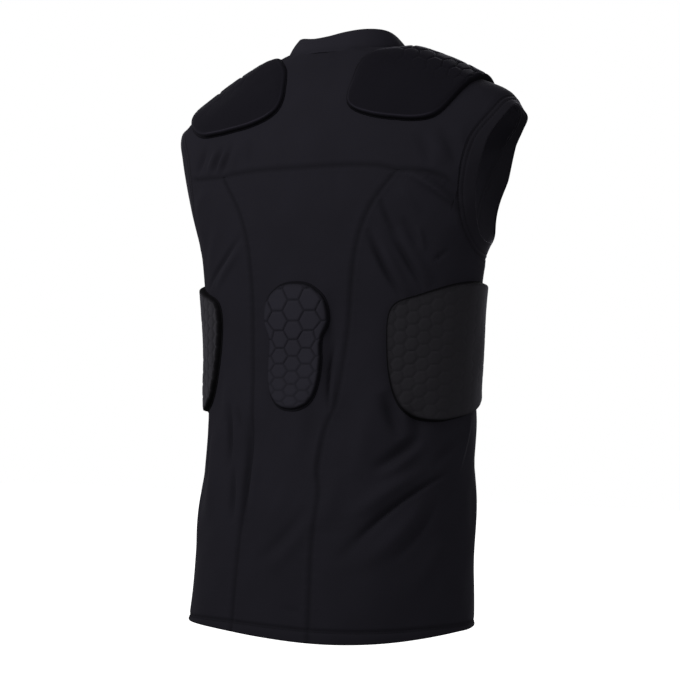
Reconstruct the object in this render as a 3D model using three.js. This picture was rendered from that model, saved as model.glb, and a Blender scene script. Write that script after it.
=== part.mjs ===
// A padded compression vest in its worn form: cloth panels sewn into a sleeveless torso shell, a low
// standing neckband, turned armhole bands, and honeycomb pads on the shoulders, the ribs and the spine.
// Millimetres, +Z up. The front faces -Y and the wearer's left side is +X. The origin is at the middle
// of the neck, level with the points where the neckband meets the shoulders.
import * as THREE from 'three';

const CLOTH_WALL = 1.5;       // one layer of knit
const HEM_WALL = 2.8;         // the turned-up hem is two layers
const HEM_DEPTH = 20;
const BAND_WALL = 2.2;        // the turned armhole edge
const BAND_FLARE = 1.2;       // how far the armhole's free edge stands off the body line
const COLLAR_WALL = 2.4;
const COLLAR_BULGE = 1.0;
const SEAM_GAP = 0.4;         // between neighbouring panels
const SECTION_POWER = 2.1;    // 2 is an ellipse, more is squarer
const RAD = Math.PI / 180;
const TURN_STEP = 0.002;      // radians to each side when a direction round the torso is measured
const RISE_STEP = 0.5;        // millimetres to each side when a direction up the torso is measured

// Torso sections from hem to neck. Height is at the section's side points, rise is how much higher its
// back or front middle is, halfWidth is along X, and back, side and front are Y positions.
const SECTIONS = [
  { height: -676, riseBack: -6, riseFront: 14, halfWidth: 184, back: 150, side: 26, front: -92 },
  { height: -560, riseBack: 0, riseFront: 6, halfWidth: 179, back: 135, side: 15, front: -96 },
  { height: -447, riseBack: 0, riseFront: 0, halfWidth: 178, back: 108, side: 8, front: -91 },
  { height: -349, riseBack: 0, riseFront: 0, halfWidth: 184, back: 92, side: 7, front: -83 },
  { height: -245, riseBack: 0, riseFront: 0, halfWidth: 194, back: 88, side: 8, front: -96 },
  { height: -180, riseBack: 0, riseFront: 0, halfWidth: 215, back: 86, side: 5, front: -100 },
  { height: -118, riseBack: -2, riseFront: -12, halfWidth: 236, back: 75, side: -1, front: -93 },
  { height: -80, riseBack: 5, riseFront: -30, halfWidth: 238, back: 62, side: -9, front: -89 },
  { height: -41, riseBack: 7, riseFront: -50, halfWidth: 176, back: 46, side: -9, front: -86 },
  { height: -12, riseBack: 3, riseFront: -62, halfWidth: 110, back: 41, side: -8, front: -82 },
  { height: 0, riseBack: -2, riseFront: -60, halfWidth: 77, back: 41, side: -15, front: -80 },
];
const HEM = SECTIONS[0].height;
const NECK = 0;

// The neckband's top edge, as one more section.
const COLLAR_TOP = {
  height: 18.5, riseBack: 0, riseFront: -50, halfWidth: 66, back: 28, side: -17, front: -72,
};

// Princess seams: half the distance between the two seams at each height.
const PRINCESS = [
  { height: -676, half: 55 }, { height: -560, half: 52 }, { height: -460, half: 55 },
  { height: -400, half: 61 }, { height: -330, half: 68 }, { height: -270, half: 72 },
  { height: -228, half: 79 }, { height: -190, half: 95 }, { height: -150, half: 124 },
];

// Yoke seam from the back middle to the armhole, angles in degrees round the torso from the back middle.
const YOKE_SEAM = [
  { angle: 0, height: -141 }, { angle: 15, height: -141 }, { angle: 26, height: -144 },
  { angle: 33, height: -150 }, { angle: 40, height: -152 }, { angle: 46, height: -155 },
  { angle: 53, height: -162 }, { angle: 58, height: -171 },
];
const YOKE_CORNER = 33;       // where the princess seam meets the yoke seam

// Armhole: an upright oval round the torso's side whose middle line leans forward towards the bottom.
const ARM_LINE = { top: -79, bottom: -232, angleTop: 90, angleBottom: 104 };
const ARM_POWER = 2.4;
const ARM_EDGE = { top: -79, bottom: -232, halfAngle: 29 };
const ARM_SEAM = { top: -69, bottom: -252, halfAngle: 39.5 };
// Turns on the armhole oval, in degrees: 90 is its top, 180 its back, 270 its bottom.
const TURN_YOKE = 189.6;      // the yoke seam ends here
const TURN_SIDE = 305;        // the side panel's front seam ends here
const TURN_SHOULDER = 60;     // the forward shoulder seam ends here

// Main folds pulled up between the seams and the pads: ends, half width and rise of each.
const FOLDS = [
  { angle: -24, height: -200, toAngle: -37, toHeight: -272, width: 13, rise: 4 },
  { angle: -33, height: -205, toAngle: -50, toHeight: -272, width: 15, rise: 3 },
  { angle: 24, height: -218, toAngle: 44, toHeight: -270, width: 13, rise: 4 },
  { angle: -70, height: -490, toAngle: -36, toHeight: -575, width: 20, rise: 6 },
  { angle: -60, height: -540, toAngle: -42, toHeight: -605, width: 17, rise: 4 },
  { angle: 48, height: -470, toAngle: 40, toHeight: -560, width: 16, rise: 3 },
];
const FOLD_RADIUS = 130;      // millimetres of cloth per radian, for measuring across a fold

// Mesh counts along the seams.
const ROWS_LONG = 20;
const COLS_CENTRE = 8;
const STEPS_YOKE_SIDE = 4;
const STEPS_ARM_LOW = 8;
const STEPS_ARM_FRONT = 7;
const STEPS_ARM_BACK = 7;
const STEPS_SHOULDER = 7;
const ROWS_SIDE_FRONT = 12;
const COLS_FRONT = 8;

// Pads. The gap is between the cloth and the underside, which is flat under each cell; the other heights
// are above the underside: at the outer edge, in the grooves and at the middle of a full cell.
const PAD_SPINE = { gap: 0.8, edge: 4, groove: 6, crown: 8.5 };
const PAD_RIB = { gap: 0.9, edge: 3.5, groove: 6, crown: 8 };
const PAD_SHOULDER = { gap: 1.4, edge: 3.5, groove: 6, crown: 8 };

// Spine pad: half width by height, a lattice of three main columns whose cells shrink downwards.
const SPINE_OFFSET = -3;
const SPINE_OUTLINE = [
  { height: -277, half: 10 }, { height: -280, half: 22 }, { height: -288, half: 34 },
  { height: -300, half: 41 }, { height: -312, half: 42.5 }, { height: -330, half: 39.5 },
  { height: -348, half: 37.5 }, { height: -370, half: 35.5 }, { height: -392, half: 32 },
  { height: -406, half: 26 }, { height: -416, half: 17 }, { height: -421, half: 7 },
];
// Pitch is the first cell's height, shrink the ratio from one cell to the next, column the spacing where the
// pad is widest; the spacing follows the pad's width between its widest and narrowest heights.
const SPINE_CELLS = {
  first: -283.7, pitch: 25.9, shrink: 0.89, column: 23, widest: -312, narrowest: -406, rows: 9, columns: 2,
};

// Rib pad: arc is measured round the body from the pad's back edge, which is at RIB_START degrees.
const RIB_START = 39;
const RIB_LEVEL = -355;
const RIB_CELL = 16;
const RIB_OUTLINE = [
  { arc: 0, height: -340 }, { arc: 2, height: -312 }, { arc: 11, height: -301 }, { arc: 31, height: -293 },
  { arc: 64, height: -283 }, { arc: 85, height: -279 }, { arc: 110, height: -278 }, { arc: 140, height: -281 },
  { arc: 166, height: -289 }, { arc: 180, height: -303 }, { arc: 185, height: -335 }, { arc: 183, height: -365 },
  { arc: 172, height: -392 }, { arc: 150, height: -410 }, { arc: 115, height: -425 }, { arc: 85, height: -432 },
  { arc: 61, height: -435 }, { arc: 34, height: -430 }, { arc: 16, height: -414 }, { arc: 3, height: -382 },
];

// Shoulder pad, one half: out is the distance from the middle along X, over is the arc length from the
// shoulder's ridge down the back. The front half is the same.
const SHOULDER_CELL = 18.5;
const SHOULDER_TIP = -80;     // section height of the shoulder's outer end
const NECK_CLOSED = 27;       // where the sections, continued past the neck, would meet
const SHOULDER_DROP = 150;    // how far down the cloth is followed from the shoulder's ridge
const SHOULDER_STEPS = 60;    // steps in which that length is added up
const SHOULDER_OUTLINE = [
  { out: 93, over: 0 }, { out: 87, over: 22 }, { out: 66, over: 54 }, { out: 54, over: 76 },
  { out: 50, over: 100 }, { out: 51, over: 118 }, { out: 57, over: 129 }, { out: 68, over: 131 },
  { out: 84, over: 126 }, { out: 109, over: 114 }, { out: 138, over: 103 }, { out: 163, over: 90 },
  { out: 178, over: 76 }, { out: 190, over: 58 }, { out: 199, over: 38 }, { out: 205, over: 20 },
  { out: 206, over: 0 },
];
const OUTLINE_STEP = 15;      // millimetres between points of a smoothed pad outline
const SLIVER = 3;             // square millimetres; smaller clipped cells are left out

const CLOTH = new THREE.MeshStandardMaterial({ color: 0x201f24, roughness: 0.75, metalness: 0 });
const PAD = new THREE.MeshStandardMaterial({ color: 0x242328, roughness: 0.6, metalness: 0 });
const BAND = new THREE.MeshStandardMaterial({ color: 0x1e1e22, roughness: 0.75, metalness: 0 });

const lerp = (a, b, t) => a + (b - a) * t;
const clamp = (v, low, high) => Math.min(high, Math.max(low, v));
const range = (count) => Array.from({ length: count + 1 }, (_, i) => i / count);

// Cubic interpolation of every column of a table against its key column, straight past the ends.
function interpolate(table, key, value) {
  const keys = table.map((row) => row[key]);
  const up = keys[keys.length - 1] > keys[0];
  const rows = up ? table : [...table].reverse();
  const last = rows.length - 1;
  const slope = (i, name) => {
    const a = rows[Math.max(i - 1, 0)];
    const b = rows[Math.min(i + 1, last)];
    return (b[name] - a[name]) / (b[key] - a[key]);
  };
  let i = rows.findIndex((row) => row[key] > value) - 1;
  if (i === -2) i = last - 1;
  i = clamp(i, 0, last - 1);
  const span = rows[i + 1][key] - rows[i][key];
  const f = clamp((value - rows[i][key]) / span, 0, 1);
  const beyond = value - (rows[i][key] + f * span);
  const result = {};
  for (const name of Object.keys(rows[0])) {
    const m0 = slope(i, name) * span;
    const m1 = slope(i + 1, name) * span;
    const smooth = (2 * f ** 3 - 3 * f ** 2 + 1) * rows[i][name] + (f ** 3 - 2 * f ** 2 + f) * m0
      + (3 * f ** 2 - 2 * f ** 3) * rows[i + 1][name] + (f ** 3 - f ** 2) * m1;
    result[name] = smooth + beyond * slope(f < 0.5 ? i : i + 1, name);
  }
  return result;
}

// A point on a section at an angle from the back middle; positive angles turn towards +X.
function sectionPoint(section, angle) {
  const s = Math.sin(angle);
  const c = Math.cos(angle);
  const k = (Math.abs(s) ** SECTION_POWER + Math.abs(c) ** SECTION_POWER) ** (-1 / SECTION_POWER);
  const depth = c > 0 ? section.back - section.side : section.side - section.front;
  const rise = c > 0 ? section.riseBack : section.riseFront;
  return new THREE.Vector3(
    section.halfWidth * s * k,
    section.side + depth * c * k,
    section.height + rise * c * c,
  );
}

const surface = (angle, height) => sectionPoint(interpolate(SECTIONS, 'height', height), angle);

function surfaceNormal(angle, height) {
  const round = surface(angle + TURN_STEP, height).sub(surface(angle - TURN_STEP, height));
  const up = surface(angle, height + RISE_STEP).sub(surface(angle, height - RISE_STEP));
  return up.cross(round).normalize();
}

// The angle at which a section of the back is a given distance from the middle.
function angleAt(x, height) {
  const ratio = clamp(Math.abs(x) / interpolate(SECTIONS, 'height', height).halfWidth, 0, 1 - 1e-9);
  const share = ratio ** SECTION_POWER;
  return Math.sign(x) * Math.atan((share / (1 - share)) ** (1 / SECTION_POWER));
}

// Rise of the folds: each is a rounded ridge along a straight line on the unrolled cloth.
function foldRise(angle, height) {
  let rise = 0;
  for (const fold of FOLDS) {
    const px = (angle - fold.angle * RAD) * FOLD_RADIUS;
    const py = height - fold.height;
    const dx = (fold.toAngle - fold.angle) * RAD * FOLD_RADIUS;
    const dy = fold.toHeight - fold.height;
    const length = Math.hypot(dx, dy);
    const along = (px * dx + py * dy) / length / length;
    const across = (px * dy - py * dx) / length / fold.width;
    const middle = Math.max(0, Math.abs(along - 0.5) * 2) ** 2;
    rise += fold.rise * Math.exp(-across * across) * Math.max(0, 1 - middle);
  }
  return rise;
}

function clothPoint(angle, height, offset) {
  const normal = surfaceNormal(angle, height);
  return surface(angle, height).addScaledVector(normal, foldRise(angle, height) + offset);
}

// A mesh from vertices and triangles, with its faces turned outwards.
function solid(name, vertices, triangles, material) {
  let volume = 0;
  for (const [a, b, c] of triangles) {
    volume += vertices[a].dot(vertices[b].clone().cross(vertices[c]));
  }
  const faces = volume < 0 ? triangles.map(([a, b, c]) => [a, c, b]) : triangles;
  const geometry = new THREE.BufferGeometry();
  const positions = vertices.flatMap((v) => [v.x, v.y, v.z]);
  geometry.setAttribute('position', new THREE.Float32BufferAttribute(positions, 3));
  geometry.setIndex(faces.flat());
  geometry.computeVertexNormals();
  const mesh = new THREE.Mesh(geometry, material);
  mesh.name = name;
  return mesh;
}

// A walled sheet: a grid of outer points, a matching grid of inner points, and the edges closed.
// A ring grid joins its last column to its first.
function walledSheet(name, outer, inner, material, ring = false) {
  const rows = outer.length;
  const cols = outer[0].length;
  const vertices = [...outer.flat(), ...inner.flat()];
  const out = (r, c) => r * cols + (c % cols);
  const inn = (r, c) => rows * cols + out(r, c);
  const triangles = [];
  const quad = (a, b, c, d) => triangles.push([a, b, c], [a, c, d]);
  const spans = ring ? cols : cols - 1;
  for (let r = 0; r < rows - 1; r += 1) {
    for (let c = 0; c < spans; c += 1) {
      quad(out(r, c), out(r, c + 1), out(r + 1, c + 1), out(r + 1, c));
      quad(inn(r, c), inn(r + 1, c), inn(r + 1, c + 1), inn(r, c + 1));
    }
  }
  for (let c = 0; c < spans; c += 1) {
    quad(out(0, c), inn(0, c), inn(0, c + 1), out(0, c + 1));
    quad(out(rows - 1, c), out(rows - 1, c + 1), inn(rows - 1, c + 1), inn(rows - 1, c));
  }
  if (!ring) {
    for (let r = 0; r < rows - 1; r += 1) {
      quad(out(r, 0), out(r + 1, 0), inn(r + 1, 0), inn(r, 0));
      quad(out(r, cols - 1), inn(r, cols - 1), inn(r + 1, cols - 1), out(r + 1, cols - 1));
    }
  }
  return solid(name, vertices, triangles, material);
}

// Moves a border node towards its inner neighbour so that the seam gap stays open.
function drawBack(node, neighbour) {
  const distance = surface(...node).distanceTo(surface(...neighbour));
  const share = SEAM_GAP / 2 / distance;
  return [lerp(node[0], neighbour[0], share), lerp(node[1], neighbour[1], share)];
}

// A cloth panel between four border lists of [angle, height] nodes, filled by blending the borders.
function panel(name, bottom, right, top, left) {
  const cols = bottom.length;
  const rows = left.length;
  const nodes = range(rows - 1).map((v, r) => range(cols - 1).map((u, c) => [0, 1].map((k) => (
    lerp(bottom[c][k], top[c][k], v) + lerp(left[r][k], right[r][k], u)
    - lerp(lerp(bottom[0][k], bottom[cols - 1][k], u), lerp(top[0][k], top[cols - 1][k], u), v)
  ))));
  for (const row of nodes) {
    row[0] = drawBack(row[0], row[1]);
    row[cols - 1] = drawBack(row[cols - 1], row[cols - 2]);
  }
  nodes[0] = nodes[0].map((node, c) => drawBack(node, nodes[1][c]));
  nodes[rows - 1] = nodes[rows - 1].map((node, c) => drawBack(node, nodes[rows - 2][c]));
  const wall = (height) => lerp(HEM_WALL, CLOTH_WALL, clamp((height - HEM - HEM_DEPTH) / HEM_DEPTH, 0, 1));
  const outer = nodes.map((row) => row.map(([angle, height]) => clothPoint(angle, height, 0)));
  const inner = nodes.map((row) => row.map(([angle, height]) => clothPoint(angle, height, -wall(height))));
  return walledSheet(name, outer, inner, CLOTH);
}

// Border lists. Every list runs on the +X side and is mirrored for the other one.
const mirror = (list) => list.map(([angle, height]) => [-angle, height]);
const heights = (from, to, count) => range(count).map((t) => lerp(from, to, t));

const yokeHeight = (degrees) => interpolate(YOKE_SEAM, 'angle', degrees).height;
const princess = heights(HEM, yokeHeight(YOKE_CORNER), ROWS_LONG).map((height) => (
  [angleAt(interpolate(PRINCESS, 'height', height).half, height), height]
));
princess[ROWS_LONG][0] = YOKE_CORNER * RAD;
const princessFoot = princess[0][0];

function armOval(oval, turn) {
  const power = (v) => Math.sign(v) * Math.abs(v) ** (2 / ARM_POWER);
  const height = (oval.top + oval.bottom) / 2 + (oval.top - oval.bottom) / 2 * power(Math.sin(turn * RAD));
  const lean = (height - ARM_LINE.top) / (ARM_LINE.bottom - ARM_LINE.top);
  const middle = lerp(ARM_LINE.angleTop, ARM_LINE.angleBottom, lean);
  return [(middle + oval.halfAngle * power(Math.cos(turn * RAD))) * RAD, height];
}

const turns = (from, to, count) => range(count).map((t) => lerp(from, to, t));
const turnsLow = turns(TURN_YOKE, TURN_SIDE, STEPS_ARM_LOW);
const turnsFront = turns(TURN_SIDE, 360 + TURN_SHOULDER, STEPS_ARM_FRONT);
const turnsBack = turns(TURN_SHOULDER, TURN_YOKE, STEPS_ARM_BACK);
const onSeam = (turn) => armOval(ARM_SEAM, turn);

const yokeEnd = onSeam(TURN_YOKE);
const yokeMiddle = range(COLS_CENTRE).map((t) => {
  const degrees = lerp(-YOKE_CORNER, YOKE_CORNER, t);
  return [degrees * RAD, yokeHeight(Math.abs(degrees))];
});
const yokeSide = range(STEPS_YOKE_SIDE).map((t) => {
  const degrees = lerp(YOKE_CORNER, yokeEnd[0] / RAD, t);
  return t < 1 ? [degrees * RAD, yokeHeight(degrees)] : yokeEnd;
});

const armLow = turnsLow.map(onSeam);
const armFront = turnsFront.map(onSeam);
const armBack = turnsBack.map(onSeam);
const sideAngle = armFront[0][0];
const shoulderAngle = armBack[0][0];
const sideSeam = (count) => heights(HEM, armFront[0][1], count).map((height) => [sideAngle, height]);
const shoulderSeam = heights(armBack[0][1], NECK, STEPS_SHOULDER).map((height) => [shoulderAngle, height]);
const hem = (from, to, count) => range(count).map((t) => [lerp(from, to, t), HEM]);

const sideTop = [...yokeSide, ...armLow.slice(1)];
const sideHem = hem(princessFoot, sideAngle, sideTop.length - 1);
const sideRight = sideSeam(ROWS_LONG);

const yokeFoot = [
  ...mirror(armBack), ...mirror([...yokeSide].reverse()).slice(1), ...yokeMiddle.slice(1),
  ...yokeSide.slice(1), ...[...armBack].reverse().slice(1),
];
// Columns of the yoke crowd together at the nape and fan out, so that they stay behind the armhole.
const fan = (t) => (t + t ** 3) / 2;
const neckBack = range(yokeFoot.length - 1).map((t) => [shoulderAngle * fan(2 * t - 1), NECK]);
const neckFront = range(COLS_FRONT).map((t) => [lerp(shoulderAngle, 2 * Math.PI - shoulderAngle, t), NECK]);
const frontEdge = [...sideSeam(ROWS_SIDE_FRONT), ...armFront.slice(1), ...shoulderSeam.slice(1)];
const frontFar = frontEdge.map(([angle, height]) => [2 * Math.PI - angle, height]);

// Armhole band: a ring between the seam and the free edge.
function armholeBand(name, side) {
  const loop = [...turnsLow, ...turnsFront.slice(1), ...turnsBack.slice(1, -1).map((turn) => turn + 360)];
  const across = [0, 0.5, 1];
  const grid = (offset) => across.map((v) => loop.map((turn) => {
    const edge = armOval(ARM_EDGE, turn);
    const seam = drawBack(onSeam(turn), edge);
    const angle = side * lerp(seam[0], edge[0], v);
    return clothPoint(angle, lerp(seam[1], edge[1], v), offset + BAND_FLARE * v * v);
  }));
  return walledSheet(name, grid(0), grid(-BAND_WALL), BAND, true);
}

// Neckband: a ring that rises from the neck seam to the collar's top edge.
function neckband() {
  const angles = [...neckBack.slice(0, -1), ...neckFront.slice(0, -1)].map(([angle]) => angle);
  const rise = [0, 0.5, 1];
  const along = (angle, v) => {
    const foot = surface(angle, NECK);
    const crest = sectionPoint(COLLAR_TOP, angle);
    const lift = SEAM_GAP / foot.distanceTo(crest);
    return foot.lerp(crest, lerp(lift, 1, v));
  };
  const grid = (offset) => rise.map((v) => angles.map((angle) => {
    const round = along(angle + TURN_STEP, v).sub(along(angle - TURN_STEP, v));
    const up = along(angle, 1).sub(along(angle, 0));
    const out = up.cross(round).setZ(0).normalize();
    return along(angle, v).addScaledVector(out, offset + COLLAR_BULGE * Math.sin(Math.PI * v));
  }));
  return walledSheet('neckband', grid(0), grid(-COLLAR_WALL), BAND, true);
}

// A smooth closed outline through corner points, sampled about every OUTLINE_STEP millimetres.
function smoothOutline(points) {
  const curve = new THREE.CatmullRomCurve3(points.map(([x, y]) => new THREE.Vector3(x, y, 0)), true);
  const count = Math.round(curve.getLength() / OUTLINE_STEP);
  return curve.getSpacedPoints(count).slice(0, count).map((p) => [p.x, p.y]);
}

const area = (polygon) => THREE.ShapeUtils.area(polygon.map(([x, y]) => ({ x, y })));

// The part of an outline inside one convex cell, cut edge by edge.
function clipToCell(outline, cell) {
  let polygon = outline;
  const turn = Math.sign(area(cell));
  cell.forEach((a, i) => {
    const b = cell[(i + 1) % cell.length];
    const inside = (p) => turn * ((b[0] - a[0]) * (p[1] - a[1]) - (b[1] - a[1]) * (p[0] - a[0]));
    const kept = [];
    polygon.forEach((p, j) => {
      const q = polygon[(j + 1) % polygon.length];
      const dp = inside(p);
      const dq = inside(q);
      if (dp >= 0) kept.push(p);
      if ((dp > 0 && dq < 0) || (dp < 0 && dq > 0)) {
        const t = dp / (dp - dq);
        kept.push([lerp(p[0], q[0], t), lerp(p[1], q[1], t)]);
      }
    });
    polygon = kept;
  });
  return polygon;
}

// Corners of a flat-topped hexagon in lattice units: columns are 1 apart, cells of a column 1 apart.
const HEXAGON = [[2 / 3, 0], [1 / 3, 0.5], [-1 / 3, 0.5], [-2 / 3, 0], [-1 / 3, -0.5], [1 / 3, -0.5]];

// Cells of a regular honeycomb that covers a box, pitch being the height of a cell.
function honeycomb(outline, pitch) {
  const column = pitch * Math.sqrt(3) / 2;
  const xs = outline.map((p) => p[0]);
  const ys = outline.map((p) => p[1]);
  const middle = [(Math.min(...xs) + Math.max(...xs)) / 2, (Math.min(...ys) + Math.max(...ys)) / 2];
  const reachX = Math.ceil((Math.max(...xs) - middle[0]) / column) + 1;
  const reachY = Math.ceil((Math.max(...ys) - middle[1]) / pitch) + 1;
  const cells = [];
  for (let i = -reachX; i <= reachX; i += 1) {
    for (let j = -reachY; j <= reachY; j += 1) {
      const centre = [middle[0] + i * column, middle[1] + (j + Math.abs(i % 2) / 2) * pitch];
      cells.push(HEXAGON.map(([x, y]) => [centre[0] + x * column, centre[1] + y * pitch]));
    }
  }
  return cells;
}

// A pad: every cell of the lattice inside the outline gets a raised middle, place() puts a point of the
// unrolled pad at a height above the cloth.
function pad(name, outline, cells, heightsOf, place) {
  const flat = [];
  const vertexAt = (p) => {
    const found = flat.findIndex((q) => Math.hypot(p[0] - q[0], p[1] - q[1]) < 0.05);
    return found >= 0 ? found : flat.push(p) - 1;
  };
  const fullArea = Math.max(...cells.map((cell) => Math.abs(area(cell))));
  const polygons = [];
  for (const cell of cells) {
    const piece = clipToCell(outline, cell);
    if (piece.length > 2 && Math.abs(area(piece)) > SLIVER) {
      const share = Math.min(1, Math.abs(area(piece)) / Math.abs(area(cell)));
      const size = Math.sqrt(Math.abs(area(cell)) / fullArea);
      const ids = piece.map(vertexAt).filter((id, i, list) => id !== list[(i + 1) % list.length]);
      polygons.push({ ids, fullness: share * size });
    }
  }
  const edges = new Set();
  for (const { ids } of polygons) {
    ids.forEach((id, i) => edges.add(`${id} ${ids[(i + 1) % ids.length]}`));
  }
  const pairs = [...edges].map((edge) => edge.split(' ').map(Number));
  const border = pairs.filter(([a, b]) => !edges.has(`${b} ${a}`));
  const onBorder = new Set(border.flat());
  const rimHeight = (id) => (onBorder.has(id) ? heightsOf.edge : heightsOf.groove);
  const vertices = [];
  flat.forEach((p) => vertices.push(place(p, heightsOf.gap)));
  flat.forEach((p, id) => vertices.push(place(p, heightsOf.gap + rimHeight(id))));
  const top = (id) => id + flat.length;
  const triangles = [];
  for (const { ids, fullness } of polygons) {
    const middle = [0, 1].map((k) => ids.reduce((sum, id) => sum + flat[id][k], 0) / ids.length);
    const crown = lerp(heightsOf.groove, heightsOf.crown, fullness);
    const centre = vertices.push(place(middle, heightsOf.gap + crown)) - 1;
    ids.forEach((id, i) => triangles.push([top(id), top(ids[(i + 1) % ids.length]), centre]));
    for (let i = 1; i < ids.length - 1; i += 1) {
      triangles.push([ids[0], ids[i + 1], ids[i]]);
    }
  }
  for (const [a, b] of border) {
    triangles.push([top(b), top(a), a], [top(b), a, b]);
  }
  return solid(name, vertices, triangles, PAD);
}

function spinePad() {
  const side = SPINE_OUTLINE.map(({ height, half }) => [half, height]);
  const outline = smoothOutline([...side, ...side.map(([x, height]) => [-x, height]).reverse()]);
  const { first, pitch, shrink, column, widest, narrowest, rows, columns } = SPINE_CELLS;
  const level = (t) => first - pitch * (1 - shrink ** t) / (1 - shrink);
  const halfAt = (height) => interpolate(SPINE_OUTLINE, 'height', clamp(height, narrowest, widest)).half;
  const spread = (height) => column * halfAt(height) / halfAt(widest);
  const cells = [];
  for (let c = -columns; c <= columns; c += 1) {
    for (let r = -1; r < rows; r += 1) {
      const t = r + Math.abs(c % 2) / 2;
      cells.push(HEXAGON.map(([x, y]) => [(c + x) * spread(level(t - y)), level(t - y)]));
    }
  }
  const place = ([x, height], offset) => clothPoint(angleAt(x + SPINE_OFFSET, height), height, offset);
  return pad('spine_pad', outline, cells, PAD_SPINE, place);
}

// The angle reached by going an arc length round the body from the rib pad's back edge.
const ribAngles = (() => {
  const step = 0.5 * RAD;
  const steps = [{ arc: 0, angle: RIB_START * RAD }];
  while (steps[steps.length - 1].angle < Math.PI) {
    const { arc, angle } = steps[steps.length - 1];
    const length = surface(angle, RIB_LEVEL).distanceTo(surface(angle + step, RIB_LEVEL));
    steps.push({ arc: arc + length, angle: angle + step });
  }
  return steps;
})();

function ribPad(name, side) {
  const outline = smoothOutline(RIB_OUTLINE.map(({ arc, height }) => [arc, height]));
  const place = ([arc, height], offset) => (
    clothPoint(side * interpolate(ribAngles, 'arc', arc).angle, height, offset)
  );
  return pad(name, outline, honeycomb(outline, RIB_CELL), PAD_RIB, place);
}

// The cloth's [angle, height] at a distance out from the middle and an arc length over the shoulder's
// ridge, positive to the back and negative to the front.
function overShoulder(out, over) {
  let low = SHOULDER_TIP;
  let high = NECK_CLOSED;
  while (high - low > 1e-6) {
    const middle = (low + high) / 2;
    if (interpolate(SECTIONS, 'height', middle).halfWidth > out) low = middle;
    else high = middle;
  }
  const count = SHOULDER_STEPS;
  const node = (t) => {
    const height = low - SHOULDER_DROP * t * t;
    const angle = angleAt(out, height);
    return [over < 0 ? Math.PI - angle : angle, height];
  };
  let arc = 0;
  for (let i = 1; i <= count; i += 1) {
    const before = node((i - 1) / count);
    const after = node(i / count);
    const length = surface(...before).distanceTo(surface(...after));
    if (arc + length >= Math.abs(over)) {
      const t = (Math.abs(over) - arc) / length;
      return [lerp(before[0], after[0], t), lerp(before[1], after[1], t)];
    }
    arc += length;
  }
  return node(1);
}

function shoulderPad(name, side) {
  const back = SHOULDER_OUTLINE.map(({ out, over }) => [out, over]);
  const front = back.slice(1, -1).map(([out, over]) => [out, -over]).reverse();
  const outline = smoothOutline([...back, ...front]);
  const place = ([out, over], offset) => {
    const [angle, height] = overShoulder(out, over);
    return clothPoint(side * angle, height, offset);
  };
  return pad(name, outline, honeycomb(outline, SHOULDER_CELL), PAD_SHOULDER, place);
}

const vest = new THREE.Group();
const centreHem = hem(-princessFoot, princessFoot, COLS_CENTRE);
const frontHem = hem(sideAngle, 2 * Math.PI - sideAngle, COLS_FRONT);
vest.add(panel('back_center_panel', centreHem, princess, yokeMiddle, mirror(princess)));
const sideBorders = [sideHem, sideRight, sideTop, princess];
vest.add(panel('back_side_panel_left', ...sideBorders));
vest.add(panel('back_side_panel_right', ...sideBorders.map(mirror)));
vest.add(panel('back_yoke', yokeFoot, shoulderSeam, neckBack, mirror(shoulderSeam)));
vest.add(panel('front_panel', frontHem, frontFar, neckFront, frontEdge));
vest.add(neckband());
vest.add(armholeBand('armhole_band_left', 1));
vest.add(armholeBand('armhole_band_right', -1));
vest.add(spinePad());
vest.add(ribPad('rib_pad_left', 1));
vest.add(ribPad('rib_pad_right', -1));
vest.add(shoulderPad('shoulder_pad_left', 1));
vest.add(shoulderPad('shoulder_pad_right', -1));

export default vest;
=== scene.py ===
"""A padded compression vest in its worn form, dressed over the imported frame.

Lengths are millimetres until mesh_piece() puts them into a mesh in metres. A place on the cloth is an angle
round the torso, zero at the back middle and positive towards the wearer's left, and a height, which is
measured at the torso's side from the neck down.
"""

import bpy
import numpy as np
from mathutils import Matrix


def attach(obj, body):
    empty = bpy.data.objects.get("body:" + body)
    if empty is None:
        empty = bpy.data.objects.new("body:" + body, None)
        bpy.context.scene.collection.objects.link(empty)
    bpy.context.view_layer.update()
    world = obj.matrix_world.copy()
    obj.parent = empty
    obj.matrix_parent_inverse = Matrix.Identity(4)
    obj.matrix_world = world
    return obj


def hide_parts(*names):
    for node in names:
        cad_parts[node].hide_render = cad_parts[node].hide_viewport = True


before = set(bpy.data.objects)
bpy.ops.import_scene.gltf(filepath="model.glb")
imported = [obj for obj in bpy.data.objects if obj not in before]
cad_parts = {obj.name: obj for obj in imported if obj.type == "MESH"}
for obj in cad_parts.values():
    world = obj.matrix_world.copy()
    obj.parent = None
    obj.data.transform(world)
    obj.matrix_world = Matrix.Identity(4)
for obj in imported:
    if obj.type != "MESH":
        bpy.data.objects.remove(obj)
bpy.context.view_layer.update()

MM = 0.001
METRE = 1000.0             # in millimetres

# Cloth and seam sizes.
CLOTH_WALL = 1.5
HEM_WALL = 2.8
HEM_DEPTH = 10.5           # the turned hem's mean depth
HEM_SWING = 4.0            # how much deeper it gets at the back and the front
HEM_DEEPEST = -20.0        # where at the back it is deepest, in degrees
HEM_BULGE = 0.7            # how far the turned cloth bulges
HEM_LAP = 2.0              # how far the turned cloth reaches past the stitches
BAND_WALL = 2.2
COLLAR_WALL = 2.4
COLLAR_BULGE = 1.0
COLLAR_OVER = 0.2          # how far the collar's face stands outside the neck line, so that no gap shows
COLLAR_TUCKED = -1.2       # and its foot inside the cloth below that line
SEAM_DEPTH = 0.8           # how deep the cloth is drawn into a seam
SEAM_WIDTH = 3.2           # half width of that groove
SEAM_ROLL = 0.3            # rise of the cloth over the seam allowance beside the groove
SEAM_ROLL_AT = 6.5
SEAM_ROLL_WIDTH = 2.8
ARM_SEAM_SHARE = 0.3       # the armhole edges and the collar have shallower seams and less painted shade, as a share of the others
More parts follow.
